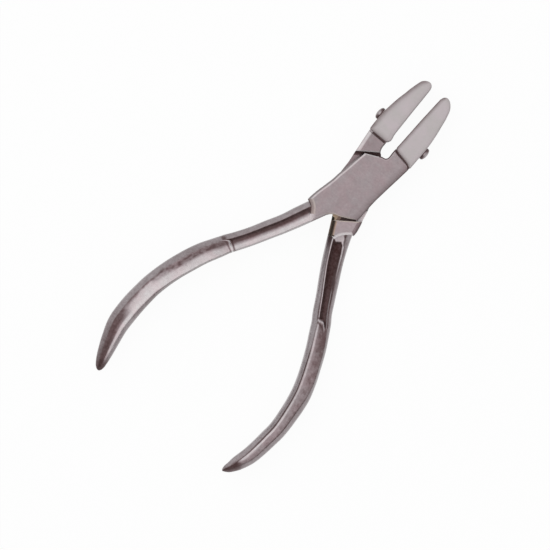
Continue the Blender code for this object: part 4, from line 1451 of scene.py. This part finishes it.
@dataclass
class TongueLever:
    """The lever that passes through the box as a thin tongue, with the right handle."""

    handle: Handle
    pad: PadShape
    edge_angle: float = TONGUE_EDGE_ANGLE
    jaw_reach: float = 6.7 * MM
    handle_reach: float = 8.5 * MM
    shoulder_angle: float = math.radians(36.0)
    shoulder_reach: float = 11.5 * MM
    neck_split: float = 4.6 * MM
    band_width: float = 0.9 * MM
    tongue_side_polish: float = 0.46
    lip_reach: float = 0.52 * MM
    lip_depth: float = 0.5 * MM
    lip_left: float = 8.1 * MM
    lip_right: float = 2.9 * MM
    foot_shares: tuple[float, float] = (-1.013, -0.093)
    head_shares: tuple[float, float] = (0.913, -0.173)
    jaw_corner: tuple[float, float] = (-0.327, 1.288)
    head_seam: float = 8.5 * MM
    neck_seam: float = 8.9 * MM
    left_seam: float = 6.0 * MM
    right_seam: float = 6.4 * MM

    def on_edge(self, reach: float, share: float) -> np.ndarray:
        """Return the point of a tongue edge whose x is a share of the box's half width."""
        x = share * BOX_HALF_WIDTH
        return np.array((x, (reach - math.cos(self.edge_angle) * x) / math.sin(self.edge_angle)))

    def lines(self) -> dict[str, np.ndarray]:
        """Work out the sides of the lever's body.

        Returns:
            The sides by name, anticlockwise from the upper left.
        """
        left, bottom = (self.on_edge(-self.handle_reach, share) for share in self.foot_shares)
        right, top = (self.on_edge(self.jaw_reach, share) for share in self.head_shares)
        sizes = np.array((BOX_HALF_WIDTH, BOX_HALF_LENGTH))
        left_side = np.vstack((np.array(TONGUE_LEFT_SIDE) * sizes, left))
        right_side = np.vstack((np.array(TONGUE_RIGHT_SIDE) * sizes, right))
        neck = np.array(TONGUE_NECK_END) * sizes
        jaw_corner = np.array(self.jaw_corner) * sizes
        inner = top + np.array(TONGUE_JAW_INNER) * (jaw_corner - top)
        return {
            "left": smooth_line(left_side, 10),
            "foot": np.vstack((left, bottom)),
            "neck": even_steps(np.vstack((bottom, neck[0])), 20),
            "neck_end": smooth_line(neck, 10),
            "right": smooth_line(right_side, 10),
            "head": np.vstack((right, top)),
            "inner": smooth_line(inner, 8),
            "jaw_end": even_steps(np.vstack((jaw_corner, left_side[0])), 20),
        }

    def tongue(self, lines: dict[str, np.ndarray], normal: np.ndarray) -> list[Shell]:
        """Build the tongue from prisms: painted shade in the wedges, lighter on the strips.

        Each part is a tone, a browning and the half planes that it is cut by, a direction
        and the least distance along it.

        Args:
            lines: the sides of the lever's body.
            normal: the direction that the upper shoulder faces away from.

        Returns:
            One shell for each part of the tongue.
        """
        whole = np.vstack([line[:-1] for line in lines.values()])
        half = TONGUE_THICKNESS / 2
        right, up = np.array((1.0, 0.0)), np.array((0.0, 1.0))
        start, end = lines["neck"][0], lines["neck"][-1]
        across = np.array((start[1] - end[1], end[0] - start[0])) / np.linalg.norm(end - start)
        band = across @ start + self.band_width
        head, not_head = (normal, self.head_seam), (-normal, -self.head_seam)
        neck, not_neck = (-normal, self.neck_seam), (normal, -self.neck_seam)
        left, not_left = (-right, self.left_seam), (right, -self.left_seam)
        rim, not_rim = (right, self.right_seam), (-right, -self.right_seam)
        # The darkest parts paint the shade in the wedges beside the cheeks and under the jaw's
        # shoulder, with a band of painted half shade; the straw parts are browned steel.
        parts = (
            (0.09, 0.0, (head, not_left)),
            (0.09, 0.0, ((normal, 10.7 * MM), left)),
            (0.22, 0.0, ((normal, 10.2 * MM), (-normal, -10.7 * MM), left)),
            (0.41, 0.0, ((-normal, -10.2 * MM), left)),
            (0.30, 0.0, (not_head, not_neck, not_left, not_rim)),
            (0.15, 0.15, (neck, not_rim, (right, 2.0 * MM))),
            (0.40, 0.8, (neck, (-right, -2.0 * MM), (right, 1.1 * MM))),
            (0.57, 1.0, (neck, (-right, -1.1 * MM), (up, -13.0 * MM))),
            (0.57, 1.0, (neck, (-right, -1.1 * MM), (-up, 13.0 * MM), (across, band))),
            (0.03, 1.0, (neck, (-right, -1.1 * MM), (-up, 13.0 * MM), (-across, -band))),
            (0.74, 0.0, (rim, (up, -6.0 * MM), (-up, -4.6 * MM), not_head)),
            (0.26, 0.3, (rim, (up, -4.6 * MM), not_head)),
            (0.74, 0.0, (rim, (-up, 6.0 * MM), not_head)))
        shells = []
        for polish, browning, cuts in parts:
            outline = whole
            for facing, reach in cuts:
                outline = clip_outline(outline, facing, reach)
            if len(outline) > 2:
                shells.append(box_shell(outline, MID_HEIGHT - half, MID_HEIGHT + half, polish,
                                        browning, self.tongue_side_polish))
        return shells

    def build(self, steels: list[bpy.types.Material]) -> bpy.types.Object:
        """Make the lever as one object.

        Args:
            steels: the handle's finish and the flat parts'.

        Returns:
            The lever.
        """
        lines = self.lines()
        normal = np.array((-math.sin(self.shoulder_angle), math.cos(self.shoulder_angle)))
        high, low = FLUSH_STEP, BODY_THICKNESS - FLUSH_STEP
        above = {key: clip_line(lines[key], normal, self.shoulder_reach)
                 for key in ("left", "inner")}
        below = {key: clip_line(lines[key], -normal, self.shoulder_reach)
                 for key in ("neck", "right")}
        right = np.array((1.0, 0.0))
        # As on the box lever, the bevels' tone rows paint highlights and shade: the neck's dark
        # band is painted shade in the wedge under the cheek, the bright crescent at the neck's end
        # a painted highlight.
        jaw = Plate([
            Edge(above["left"], 1.2 * MM, 0.4 * MM, (0.60, 0.80, 0.76, 0.60), 0.4),
            Edge(even_steps(np.vstack((above["left"][-1], above["inner"][0])), 30), 0.35 * MM,
                 0.2 * MM, (0.68, 0.60), 0.06),
            Edge(above["inner"], 0.4 * MM, 0.3 * MM, (0.34, 0.44), 0.3),
            Edge(lines["jaw_end"], 0.2 * MM, 0.2 * MM, (0.4,), 0.1)], high, low, flat_polish=0.46)
        neck = Plate([
            Edge(below["neck"], 1.9 * MM, 0.6 * MM, (0.34, 0.14, 0.02, 0.03, 0.16, 0.50, 0.61), 0.1,
                 browning=0.78),
            Edge(clip_line(lines["neck_end"], -right, -self.neck_split), 0.60 * MM, 0.25 * MM,
                 (0.10, 0.12, 0.36), 0.2, browning=0.8),
            Edge(clip_line(lines["neck_end"], right, self.neck_split), 1.05 * MM, 0.28 * MM,
                 (0.66, 0.84, 0.86, 0.74, 0.58), 0.3),
            Edge(below["right"], 1.4 * MM, 0.5 * MM, (0.26, 0.34, 0.40), 0.3, rounded=True),
            Edge(even_steps(np.vstack((below["right"][-1], below["neck"][0])), 30), 0.30 * MM,
                 0.15 * MM, (0.66, 0.60), 0.08, browning=0.4)], high, low, flat_polish=0.53)
        line = lines["jaw_end"]
        ledge = np.vstack((line[0], line[-1], line[-1] + (0.0, self.lip_reach),
                           line[0] + (0.0, self.lip_reach)))[::-1]
        ledge = ledge if outline_area(ledge) > 0.0 else ledge[::-1]
        # The middle lip's dark tone is painted shade in the gap at the pad's base.
        lips = [(clip_outline(ledge, -right, self.lip_left), 0.52),
                (clip_outline(clip_outline(ledge, right, -self.lip_left), -right, self.lip_right),
                 0.11),
                (clip_outline(ledge, right, -self.lip_right), 0.34)]
        lips = [box_shell(outline, self.lip_depth, BODY_THICKNESS - self.lip_depth, polish)
                for outline, polish in lips]
        shells = [jaw.shell(), neck.shell(), *lips, *self.tongue(lines, normal),
                  self.pad.finger_shell(), self.handle.shell()]
        lever = make_piece("tongue_lever_steel", shells, steels,
                           choices=[1] * (len(shells) - 1) + [0])
        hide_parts("tongue_lever")
        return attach(lever, "tongue_lever")


@dataclass
class Rivet:
    """The pivot rivet, flared and ground flush with both cheeks."""

    radius: float = 2.5 * MM
    flare: float = 0.6 * MM
    end_chamfer: float = 0.02 * MM

    def build(self, steel: bpy.types.Material) -> bpy.types.Object:
        """Make the rivet as a turned pin whose flush ends have a fine chamfer.

        Args:
            steel: the rivet's finish.

        Returns:
            The rivet.
        """
        wide, fine = self.radius + self.flare, self.end_chamfer
        profile = ((wide - fine, 0.0), (wide, fine), (self.radius, self.flare),
                   (self.radius, BODY_THICKNESS - self.flare), (wide, BODY_THICKNESS - fine),
                   (wide - fine, BODY_THICKNESS))
        rivet = make_piece("flush_rivet", [turned_shell(profile, 96, 0.5)], [steel])
        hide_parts("pivot_rivet")
        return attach(rivet, "box_lever")


def picture_axes() -> tuple[Vector, Vector]:
    """Return the picture's directions to the right and up."""
    return (Vector((math.cos(PICTURE_ROLL), math.sin(PICTURE_ROLL), 0.0)),
            Vector((-math.sin(PICTURE_ROLL), math.cos(PICTURE_ROLL), 0.0)))


def make_sheet(name: str, corners: list[tuple[float, ...]],
               material: bpy.types.Material) -> bpy.types.Object:
    """Make a flat object with four corners.

    Args:
        name: the object's name.
        corners: its corners in order.
        material: its finish.

    Returns:
        The new object.
    """
    mesh = bpy.data.meshes.new(name)
    mesh.from_pydata(corners, [], [(0, 1, 2, 3)])
    mesh.materials.append(material)
    sheet = bpy.data.objects.new(name, mesh)
    bpy.context.scene.collection.objects.link(sheet)
    return sheet


@dataclass
class Card:
    """A card or panel beside the object that only shows in the metal's reflections.

    Its direction is given as the picture's: to the right, up, and towards the camera.
    """

    name: str
    right: float
    up: float
    near: float
    width: float
    height: float
    tint: tuple
    distance: float = 1.0
    aim: tuple = (-2.6 * MM, -39.9 * MM, 0.0)

    def build(self) -> None:
        """Make the card, facing the object."""
        right, up = picture_axes()
        towards = (right * self.right + up * self.up + Vector((0.0, 0.0, self.near))).normalized()
        material = bpy.data.materials.new(self.name)
        bench = FinishBench(material)
        glow = bench.node("ShaderNodeEmission", {}, {"Color": (*self.tint, 1.0), "Strength": 1.0})
        bench.node("ShaderNodeOutputMaterial", {}, {"Surface": glow})
        across = towards.cross(Vector((0.0, 0.0, 1.0))).normalized()
        over = across.cross(towards)
        centre = Vector(self.aim) + towards * self.distance
        corners = [centre + across * (a * self.width / 2) + over * (b * self.height / 2)
                   for a, b in ((-1, -1), (1, -1), (1, 1), (-1, 1))]
        card = make_sheet(self.name, [tuple(corner) for corner in corners], material)
        for ray in ("camera", "diffuse", "transmission", "volume_scatter", "shadow"):
            setattr(card, f"visible_{ray}", False)


@dataclass
class Studio:
    """The pale floor, the soft light and the camera straight above the tool."""

    middle: tuple = (-2.5618 * MM, -39.8966 * MM)
    frame_width: float = 179.9 * MM
    focus_height: float = 4.5 * MM
    camera_height: float = 4.0
    floor_half: float = 3.0
    fibre_size: float = 40.0 * MM
    fibre_grey: float = 0.93
    paper_white: float = 0.97
    glow_share: float = 0.95
    ambient: float = 0.62
    lamp_size: float = 1.3
    lamp_power: float = 4.6
    lamp_up: float = 0.62
    lamp_left: float = 0.35
    lamp_near: float = 0.75
    lamp_distance: float = 1.1
    cards: list[Card] = field(default_factory=lambda: [
        Card("dark_card_right", 0.80, -0.60, 0.75, 1.6, 0.7, (0.52, 0.50, 0.50)),
        Card("dark_card_low", -0.45, -0.90, 0.75, 0.9, 0.7, (0.50, 0.48, 0.48)),
        Card("grey_card_left", -1.0, -0.05, 0.60, 0.8, 0.6, (0.82, 0.82, 0.82)),
    ])

    def camera(self) -> None:
        """Set up the camera, rolled so that the tool lies as in the photograph."""
        data = bpy.data.cameras.new("camera")
        data.lens = data.sensor_width * (self.camera_height - self.focus_height) / self.frame_width
        camera = bpy.data.objects.new("camera", data)
        camera.location = (*self.middle, self.camera_height)
        camera.rotation_euler = (0.0, 0.0, PICTURE_ROLL)
        bpy.context.scene.collection.objects.link(camera)
        bpy.context.scene.camera = camera

    def seen_directly(self, bench: FinishBench) -> Reading:
        """Return 1 for rays of the camera, of reflections and of transmission."""
        rays = [bench.node("ShaderNodeLightPath", output=f"Is {kind} Ray")
                for kind in ("Camera", "Glossy", "Transmission")]
        return rays[0] | rays[1] | rays[2]

    def floor(self) -> None:
        """Lay the white floor, which keeps a faint shadow of the tool."""
        material = bpy.data.materials.new("white_paper")
        bench = FinishBench(material)
        fibres = bench.noise(self.fibre_size, 2.0)
        grey, white = ((tone, tone, tone, 1.0) for tone in (self.fibre_grey, self.paper_white))
        paper = bench.node("ShaderNodeMix", {"data_type": "RGBA"}, {
            0: fibres, 6: grey, 7: white}, 2)
        matt = bench.node("ShaderNodeBsdfDiffuse", {}, {"Color": paper})
        glow = bench.node("ShaderNodeEmission", {}, {"Color": (1, 1, 1, 1), "Strength": 1.0})
        share = self.seen_directly(bench) * self.glow_share
        mixed = bench.node("ShaderNodeMixShader", {}, {0: share, 1: matt, 2: glow})
        bench.node("ShaderNodeOutputMaterial", {}, {"Surface": mixed})
        half = self.floor_half
        floor = make_sheet("floor", [(x * half, y * half, -FLUSH_STEP)
                                     for x, y in ((-1, -1), (1, -1), (1, 1), (-1, 1))], material)

    def light(self) -> None:
        """Light the tool with a white surround and one large soft lamp up and to the left."""
        world = bpy.data.worlds.new("white_surround")
        bpy.context.scene.world = world
        bench = FinishBench(world)
        ambient = bench.node("ShaderNodeBackground", {}, {
            "Color": (1, 1, 1, 1), "Strength": self.ambient})
        seen = bench.node("ShaderNodeBackground", {}, {"Color": (1, 1, 1, 1), "Strength": 1.0})
        mixed = bench.node("ShaderNodeMixShader", {}, {
            0: self.seen_directly(bench), 1: ambient, 2: seen})
        bench.node("ShaderNodeOutputWorld", {}, {"Surface": mixed})
        lamp = bpy.data.lights.new("soft_lamp", "AREA")
        lamp.shape, lamp.size, lamp.energy = "SQUARE", self.lamp_size, self.lamp_power
        light = bpy.data.objects.new("soft_lamp", lamp)
        right, up = picture_axes()
        target = Vector((*self.middle, 0.0))
        place = target + (up * self.lamp_up - right * self.lamp_left
                          + Vector((0.0, 0.0, self.lamp_near))) * self.lamp_distance
        light.location = place
        light.visible_camera = False
        light.visible_glossy = False
        light.rotation_euler = (place - target).to_track_quat("Z", "Y").to_euler()
        bpy.context.scene.collection.objects.link(light)

    def build(self) -> None:
        """Set the view up, lay the floor, and place the lamp and the cards."""
        bpy.context.scene.view_settings.view_transform = "Standard"
        self.floor()
        self.light()
        for card in self.cards:
            card.build()
        self.camera()


# The handles' bands are painted reflections and painted shade: dark flute floors, partly the
# steel's own patina, and bright lines along the ridges. The collar marks are a painted highlight
# between painted shadows.
LEFT_HANDLE = Handle(
    Side.LEFT,
    ((0.139, 0.186, 0.911), (0.198, 0.273, 0.898), (0.248, 0.347, 0.850), (0.297, 0.432, 0.845),
     (0.347, 0.518, 0.834), (0.396, 0.614, 0.848), (0.416, 0.656, 0.869), (0.446, 0.709, 0.917),
     (0.495, 0.794, 0.978), (0.545, 0.860, 1.010), (0.594, 0.915, 1.005), (0.644, 0.957, 1.004),
     (0.693, 0.984, 1.012), (0.772, 0.999, 1.041), (0.817, 0.996, 1.030), (0.842, 0.988, 0.994),
     (0.891, 0.950, 0.866), (0.941, 0.902, 0.691), (0.965, 0.877, 0.565), (0.983, 0.856, 0.430),
     (0.999, 0.837, 0.330)),
    ridges=((10.0, 0.42, -0.82), (41.0, 0.42, -0.86), (45.0, 0.46, -0.88), (55.0, 0.42, -0.88),
            (62.0, 0.43, -0.85), (70.0, 0.46, -0.76), (78.0, 0.46, -0.69), (90.0, 0.44, -0.60),
            (101.0, 0.35, -0.50)),
    panel=((14.0, ((0.0, 0.40), (1.0, 0.44), (1.9, 0.48), (2.0, 0.28), (2.05, 0.11), (2.32, 0.12),
                   (2.5, 0.48), (2.68, 0.76), (2.97, 0.74), (3.1, 0.45), (5.0, 0.38))),
           (28.0, ((0.0, 0.40), (1.0, 0.45), (1.9, 0.48), (2.0, 0.28), (2.05, 0.11), (2.34, 0.12),
                   (2.52, 0.44), (2.72, 0.74), (2.97, 0.74), (3.1, 0.42), (5.0, 0.36))),
           (41.5, ((0.0, 0.38), (1.0, 0.42), (1.9, 0.44), (2.0, 0.28), (2.05, 0.12), (2.35, 0.20),
                   (2.55, 0.50), (2.72, 0.74), (2.97, 0.70), (3.1, 0.42), (5.0, 0.36))),
           (42.5, ((0.0, 0.34), (1.0, 0.34), (1.4, 0.22), (1.9, 0.14), (2.05, 0.10), (2.35, 0.20),
                   (2.55, 0.50), (2.72, 0.74), (2.97, 0.70), (3.1, 0.42), (5.0, 0.36)))),
    grip=((42.0, ((0.0, 0.40), (1.0, 0.46), (1.9, 0.44), (2.1, 0.30), (2.32, 0.30), (2.55, 0.62),
                  (2.95, 0.72), (3.1, 0.36), (5.0, 0.28))),
          (52.0, ((0.0, 0.37), (1.0, 0.42), (1.9, 0.42), (2.1, 0.38), (2.30, 0.44), (2.5, 0.70),
                  (2.95, 0.78), (3.1, 0.34), (5.0, 0.28))),
          (60.0, ((0.0, 0.39), (1.0, 0.44), (1.9, 0.46), (2.1, 0.45), (2.30, 0.50), (2.5, 0.72),
                  (2.93, 0.78), (3.06, 0.34), (5.0, 0.29))),
          (70.0, ((0.0, 0.42), (1.0, 0.48), (1.9, 0.50), (2.0, 0.40), (2.06, 0.44), (2.16, 0.74),
                  (2.88, 0.81), (2.97, 0.50), (3.05, 0.33), (5.0, 0.31))),
          (77.0, ((0.0, 0.42), (1.0, 0.48), (1.9, 0.48), (2.0, 0.36), (2.10, 0.44), (2.3, 0.70),
                  (2.88, 0.81), (2.97, 0.54), (3.05, 0.38), (5.0, 0.35))),
          (83.0, ((0.0, 0.39), (1.0, 0.43), (1.9, 0.41), (2.0, 0.30), (2.35, 0.28), (2.62, 0.40),
                  (2.74, 0.76), (2.95, 0.78), (3.06, 0.46), (5.0, 0.42))),
          (94.0, ((0.0, 0.33), (1.0, 0.37), (1.9, 0.34), (2.0, 0.27), (2.4, 0.22), (2.66, 0.27),
                  (2.77, 0.68), (2.97, 0.72), (3.1, 0.46), (5.0, 0.40))),
          (101.0, ((0.0, 0.24), (1.0, 0.28), (2.0, 0.18), (3.0, 0.15), (5.0, 0.26)))),
    flute_lean=0.62, flute_top=16.4 * MM, flute_head=((-4.0, 0.0), (4.0, 0.0)),
    collar_down=41.1 * MM, collar_drop=1.75 * MM, collar_bend=(0.6 * MM, 2.0 * MM),
    collar_inner=-5.0 * MM, collar_outer=1.2 * MM,
    collar_light_and_shadow=((-0.42, 0.0, 0.26, 0.70, 0.0), (0.28, 0.0, 0.26, 0.85, 0.80),
                  (1.00, 0.1, 0.24, 0.60, 0.08)),
    patches=((42.0, 0.02, 0.8), (44.0, 0.14, 0.6), (47.0, 0.18, 0.6), (50.0, 0.17, 0.7),
             (55.0, 0.28, 0.3), (58.0, 0.26, 0.3), (62.0, 0.24, 1.2), (66.0, 0.22, 1.1),
             (70.0, 0.10, 1.5), (76.0, 0.08, 1.3), (84.0, 0.14, 0.6), (98.0, 0.08, 0.3)),
    seed=11)
RIGHT_HANDLE = Handle(
    Side.RIGHT,
    ((0.139, 0.136, 1.090), (0.198, 0.217, 1.008), (0.248, 0.293, 0.966), (0.297, 0.378, 0.934),
     (0.347, 0.466, 0.887), (0.396, 0.551, 0.877), (0.416, 0.594, 0.886), (0.446, 0.646, 0.912),
     (0.495, 0.729, 0.921), (0.545, 0.800, 0.911), (0.594, 0.863, 0.916), (0.644, 0.911, 0.923),
     (0.693, 0.936, 0.890), (0.772, 0.954, 0.836), (0.817, 0.942, 0.825), (0.842, 0.934, 0.811),
     (0.891, 0.911, 0.778), (0.941, 0.861, 0.650), (0.965, 0.831, 0.470), (0.980, 0.805, 0.330),
     (0.990, 0.790, 0.230)),
    ridges=((10.0, 0.50, -0.50), (18.0, 0.48, -0.50), (20.0, 0.55, -0.50), (22.5, 0.61, -0.49),
            (25.0, 0.60, -0.48), (30.0, 0.57, -0.42), (35.0, 0.60, -0.35), (40.0, 0.60, -0.29),
            (45.0, 0.72, -0.37), (50.0, 0.78, -0.42), (55.0, 0.79, -0.46), (60.0, 0.77, -0.48),
            (65.0, 0.64, -0.47), (70.0, 0.54, -0.45), (76.0, 0.55, -0.41), (83.0, 0.54, -0.35),
            (90.0, 0.56, -0.30), (96.0, 0.45, -0.12)),
    panel=((15.5, ((0.0, 0.40), (1.0, 0.44), (1.6, 0.42), (1.85, 0.25), (2.0, 0.12), (2.12, 0.14),
                   (2.3, 0.40), (3.0, 0.56), (3.15, 0.30), (3.4, 0.08), (4.0, 0.12), (5.0, 0.20))),
           (16.3, ((0.0, 0.40), (1.0, 0.44), (1.7, 0.34), (1.88, 0.14), (1.96, 0.40), (2.05, 0.62),
                   (2.4, 0.54), (3.0, 0.56), (3.15, 0.30), (3.4, 0.08), (4.0, 0.12), (5.0, 0.20))),
           (17.8, ((0.0, 0.40), (1.0, 0.44), (1.6, 0.36), (1.82, 0.20), (1.90, 0.66), (2.0, 0.68),
                   (2.3, 0.60), (3.0, 0.66), (3.12, 0.28), (3.4, 0.08), (4.0, 0.16), (5.0, 0.24))),
           (18.5, ((0.0, 0.40), (1.0, 0.44), (1.5, 0.34), (1.71, 0.22), (1.79, 0.74), (2.01, 0.73),
                   (2.05, 0.20), (2.10, 0.05), (2.93, 0.05), (2.98, 0.76), (3.08, 0.62),
                   (3.16, 0.14), (3.5, 0.10), (4.0, 0.24), (5.0, 0.30))),
           (21.0, ((0.0, 0.38), (1.0, 0.42), (1.5, 0.32), (1.71, 0.22), (1.79, 0.72), (2.00, 0.70),
                   (2.05, 0.18), (2.10, 0.05), (2.93, 0.05), (2.98, 0.74), (3.07, 0.62),
                   (3.16, 0.20), (3.4, 0.34), (4.0, 0.46), (5.0, 0.44))),
           (24.0, ((0.0, 0.36), (1.0, 0.42), (1.5, 0.30), (1.73, 0.22), (1.80, 0.62), (1.98, 0.56),
                   (2.04, 0.15), (2.09, 0.06), (2.93, 0.04), (2.98, 0.64), (3.06, 0.54),
                   (3.18, 0.28), (3.4, 0.50), (5.0, 0.48))),
           (30.0, ((0.0, 0.38), (1.0, 0.44), (1.6, 0.33), (1.9, 0.22), (2.03, 0.14), (2.3, 0.06),
                   (2.93, 0.05), (2.98, 0.76), (3.06, 0.60), (3.16, 0.24), (3.4, 0.50),
                   (5.0, 0.48))),
           (34.0, ((0.0, 0.40), (1.0, 0.48), (1.7, 0.40), (1.95, 0.16), (2.08, 0.14), (2.14, 0.60),
                   (2.22, 0.12), (2.93, 0.05), (2.98, 0.74), (3.06, 0.56), (3.16, 0.24),
                   (3.4, 0.50), (5.0, 0.48))),
           (40.0, ((0.0, 0.40), (1.0, 0.46), (1.7, 0.34), (1.9, 0.14), (2.02, 0.20), (2.08, 0.56),
                   (2.16, 0.12), (2.93, 0.06), (2.98, 0.70), (3.05, 0.52), (3.11, 0.22),
                   (3.2, 0.18), (3.36, 0.48), (5.0, 0.48)))),
    grip=((42.0, ((0.0, 0.38), (1.0, 0.42), (1.9, 0.34), (2.2, 0.24), (2.8, 0.30), (2.9, 0.66),
                  (2.99, 0.62), (3.08, 0.36), (3.25, 0.48), (4.0, 0.52), (5.0, 0.48))),
          (47.0, ((0.0, 0.38), (1.0, 0.42), (1.9, 0.34), (2.1, 0.24), (2.4, 0.30), (2.78, 0.38),
                  (2.88, 0.68), (2.97, 0.64), (3.03, 0.34), (3.14, 0.34), (3.25, 0.48), (4.0, 0.52),
                  (5.0, 0.48))),
          (54.0, ((0.0, 0.38), (1.0, 0.42), (1.9, 0.36), (2.1, 0.32), (2.4, 0.38), (2.78, 0.44),
                  (2.88, 0.68), (2.97, 0.60), (3.03, 0.06), (3.18, 0.18), (3.3, 0.48), (4.0, 0.52),
                  (5.0, 0.48))),
          (64.0, ((0.0, 0.40), (1.0, 0.44), (1.9, 0.40), (2.0, 0.34), (2.2, 0.42), (2.78, 0.47),
                  (2.86, 0.66), (2.96, 0.62), (3.02, 0.06), (3.18, 0.20), (3.3, 0.48), (4.0, 0.52),
                  (5.0, 0.48))),
          (76.0, ((0.0, 0.40), (1.0, 0.46), (1.9, 0.46), (1.98, 0.30), (2.08, 0.34), (2.16, 0.45),
                  (2.72, 0.50), (2.82, 0.74), (2.95, 0.70), (3.02, 0.08), (3.22, 0.18),
                  (3.36, 0.48), (4.0, 0.52), (5.0, 0.48))),
          (84.0, ((0.0, 0.40), (1.0, 0.46), (1.9, 0.46), (1.98, 0.32), (2.08, 0.36), (2.16, 0.46),
                  (2.70, 0.50), (2.80, 0.80), (2.95, 0.78), (3.02, 0.12), (3.2, 0.22), (3.34, 0.48),
                  (4.0, 0.52), (5.0, 0.48))),
          (93.0, ((0.0, 0.40), (1.0, 0.46), (1.9, 0.44), (2.0, 0.40), (2.5, 0.46), (2.8, 0.74),
                  (2.95, 0.70), (3.02, 0.16), (3.2, 0.44), (4.0, 0.50), (5.0, 0.48))),
          (95.5, ((0.0, 0.34), (1.0, 0.36), (2.0, 0.22), (2.6, 0.12), (2.95, 0.08), (3.1, 0.30),
                  (3.4, 0.48), (5.0, 0.48))),
          (101.0, ((0.0, 0.30), (2.0, 0.20), (3.0, 0.12), (3.3, 0.40), (5.0, 0.42)))),
    flute_lean=0.9, flute_top=18.1 * MM,
    flute_head=((-4.0, -0.4), (-1.4, -0.4), (-0.7, 0.4), (1.1, 0.0), (1.9, 1.1), (4.0, 1.1)),
    collar_down=41.4 * MM, collar_drop=1.9 * MM, collar_bend=(0.5 * MM, 1.6 * MM),
    collar_inner=-1.0 * MM, collar_outer=1.1 * MM,
    collar_light_and_shadow=((-0.42, 0.0, 0.26, 0.75, 0.0), (0.50, 0.3, 0.45, 0.80, 0.66),
                  (1.65, 0.8, 0.34, 0.70, 0.08)),
    patches=((42.0, 0.05, 0.3), (50.0, 0.10, 0.5), (60.0, 0.14, 0.8), (75.0, 0.10, 0.6),
             (92.0, 0.06, 0.3)),
    seed=23)
LEFT_PAD = PadShape(
    Side.LEFT, 2.0 * MM,
    front=((0.050, 0.000), (0.022, 0.020), (-0.030, 0.050), (-0.042, 0.070), (-0.022, 0.112),
           (0.006, 0.160), (0.022, 0.346), (0.038, 0.551), (0.050, 0.798), (0.058, 0.912)),
    tip=((0.058, 0.912), (0.090, 0.958), (0.175, 0.990), (0.308, 1.000), (0.462, 0.979),
         (0.577, 0.942), (0.622, 0.909)),
    back=((0.622, 0.909), (0.667, 0.860), (0.749, 0.757), (0.797, 0.675), (0.883, 0.551),
          (0.968, 0.366), (0.994, 0.263), (1.000, 0.140), (0.985, 0.000)),
    base=((0.985, 0.000), (0.050, 0.000)),
    finger=((0.910, -0.090), (0.940, 0.016), (0.975, 0.140), (0.969, 0.263), (0.925, 0.387),
            (0.846, 0.530), (0.756, 0.654), (0.667, 0.749), (0.560, 0.800), (0.450, 0.806)),
    screw_along=6.15 * MM, seat_offset=9.4 * MM, soil_and_shade=0.95, soil_and_shade_reach=1.9 * MM)
RIGHT_PAD = PadShape(
    Side.RIGHT, 1.3 * MM,
    front=((-0.020, 0.022), (-0.004, 0.140), (0.013, 0.346), (0.031, 0.551), (0.066, 0.798),
           (0.085, 0.912)),
    tip=((0.085, 0.912), (0.150, 0.962), (0.285, 0.988), (0.462, 0.971), (0.610, 0.926),
         (0.710, 0.872), (0.776, 0.798)),
    back=((0.776, 0.798), (0.820, 0.737), (0.860, 0.654), (0.912, 0.551), (0.961, 0.428),
          (0.985, 0.325), (0.990, 0.181), (0.988, 0.037), (0.985, -0.075)),
    base=((0.985, -0.075), (0.821, -0.052), (0.731, -0.037), (0.474, -0.020), (0.218, -0.006),
          (-0.020, 0.022)),
    finger=((0.900, -0.130), (0.945, 0.016), (0.970, 0.140), (0.969, 0.263), (0.945, 0.387),
            (0.890, 0.530), (0.835, 0.640), (0.760, 0.740), (0.650, 0.795), (0.500, 0.806)),
    screw_along=5.2 * MM, seat_offset=8.65 * MM, soil_and_shade=1.0, soil_and_shade_reach=1.45 * MM)


def main() -> None:
    """Build the tool's pieces in order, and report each."""
    logging.basicConfig(level=logging.INFO, format="%(name)s: %(message)s")
    handles = Steel("hand_polished_steel").make()
    flats = Steel("ground_steel", roughest=0.50, smoothest=0.34, mottling=0.13,
                  mottle_size=3.0 * MM, dent=0.01 * MM).make()
    screws = Steel("screw_steel", roughest=0.25, smoothest=0.15, mottling=0.1).make()
    nylon = Nylon().make()
    pads = (JawPad(LEFT_PAD, "tongue_lever"), JawPad(RIGHT_PAD, "box_lever"))
    made = [BoxLever(LEFT_HANDLE, RIGHT_PAD).build([handles, flats]),
            TongueLever(RIGHT_HANDLE, LEFT_PAD).build([handles, flats]), Rivet().build(flats)]
    made += [pad.build_pad(nylon) for pad in pads] + [pad.build_screw(screws) for pad in pads]
    for piece in made:
        LOG.info("%s: %d faces", piece.name, len(piece.data.polygons))
    Studio().build()


if __name__ == "__main__":
    main()
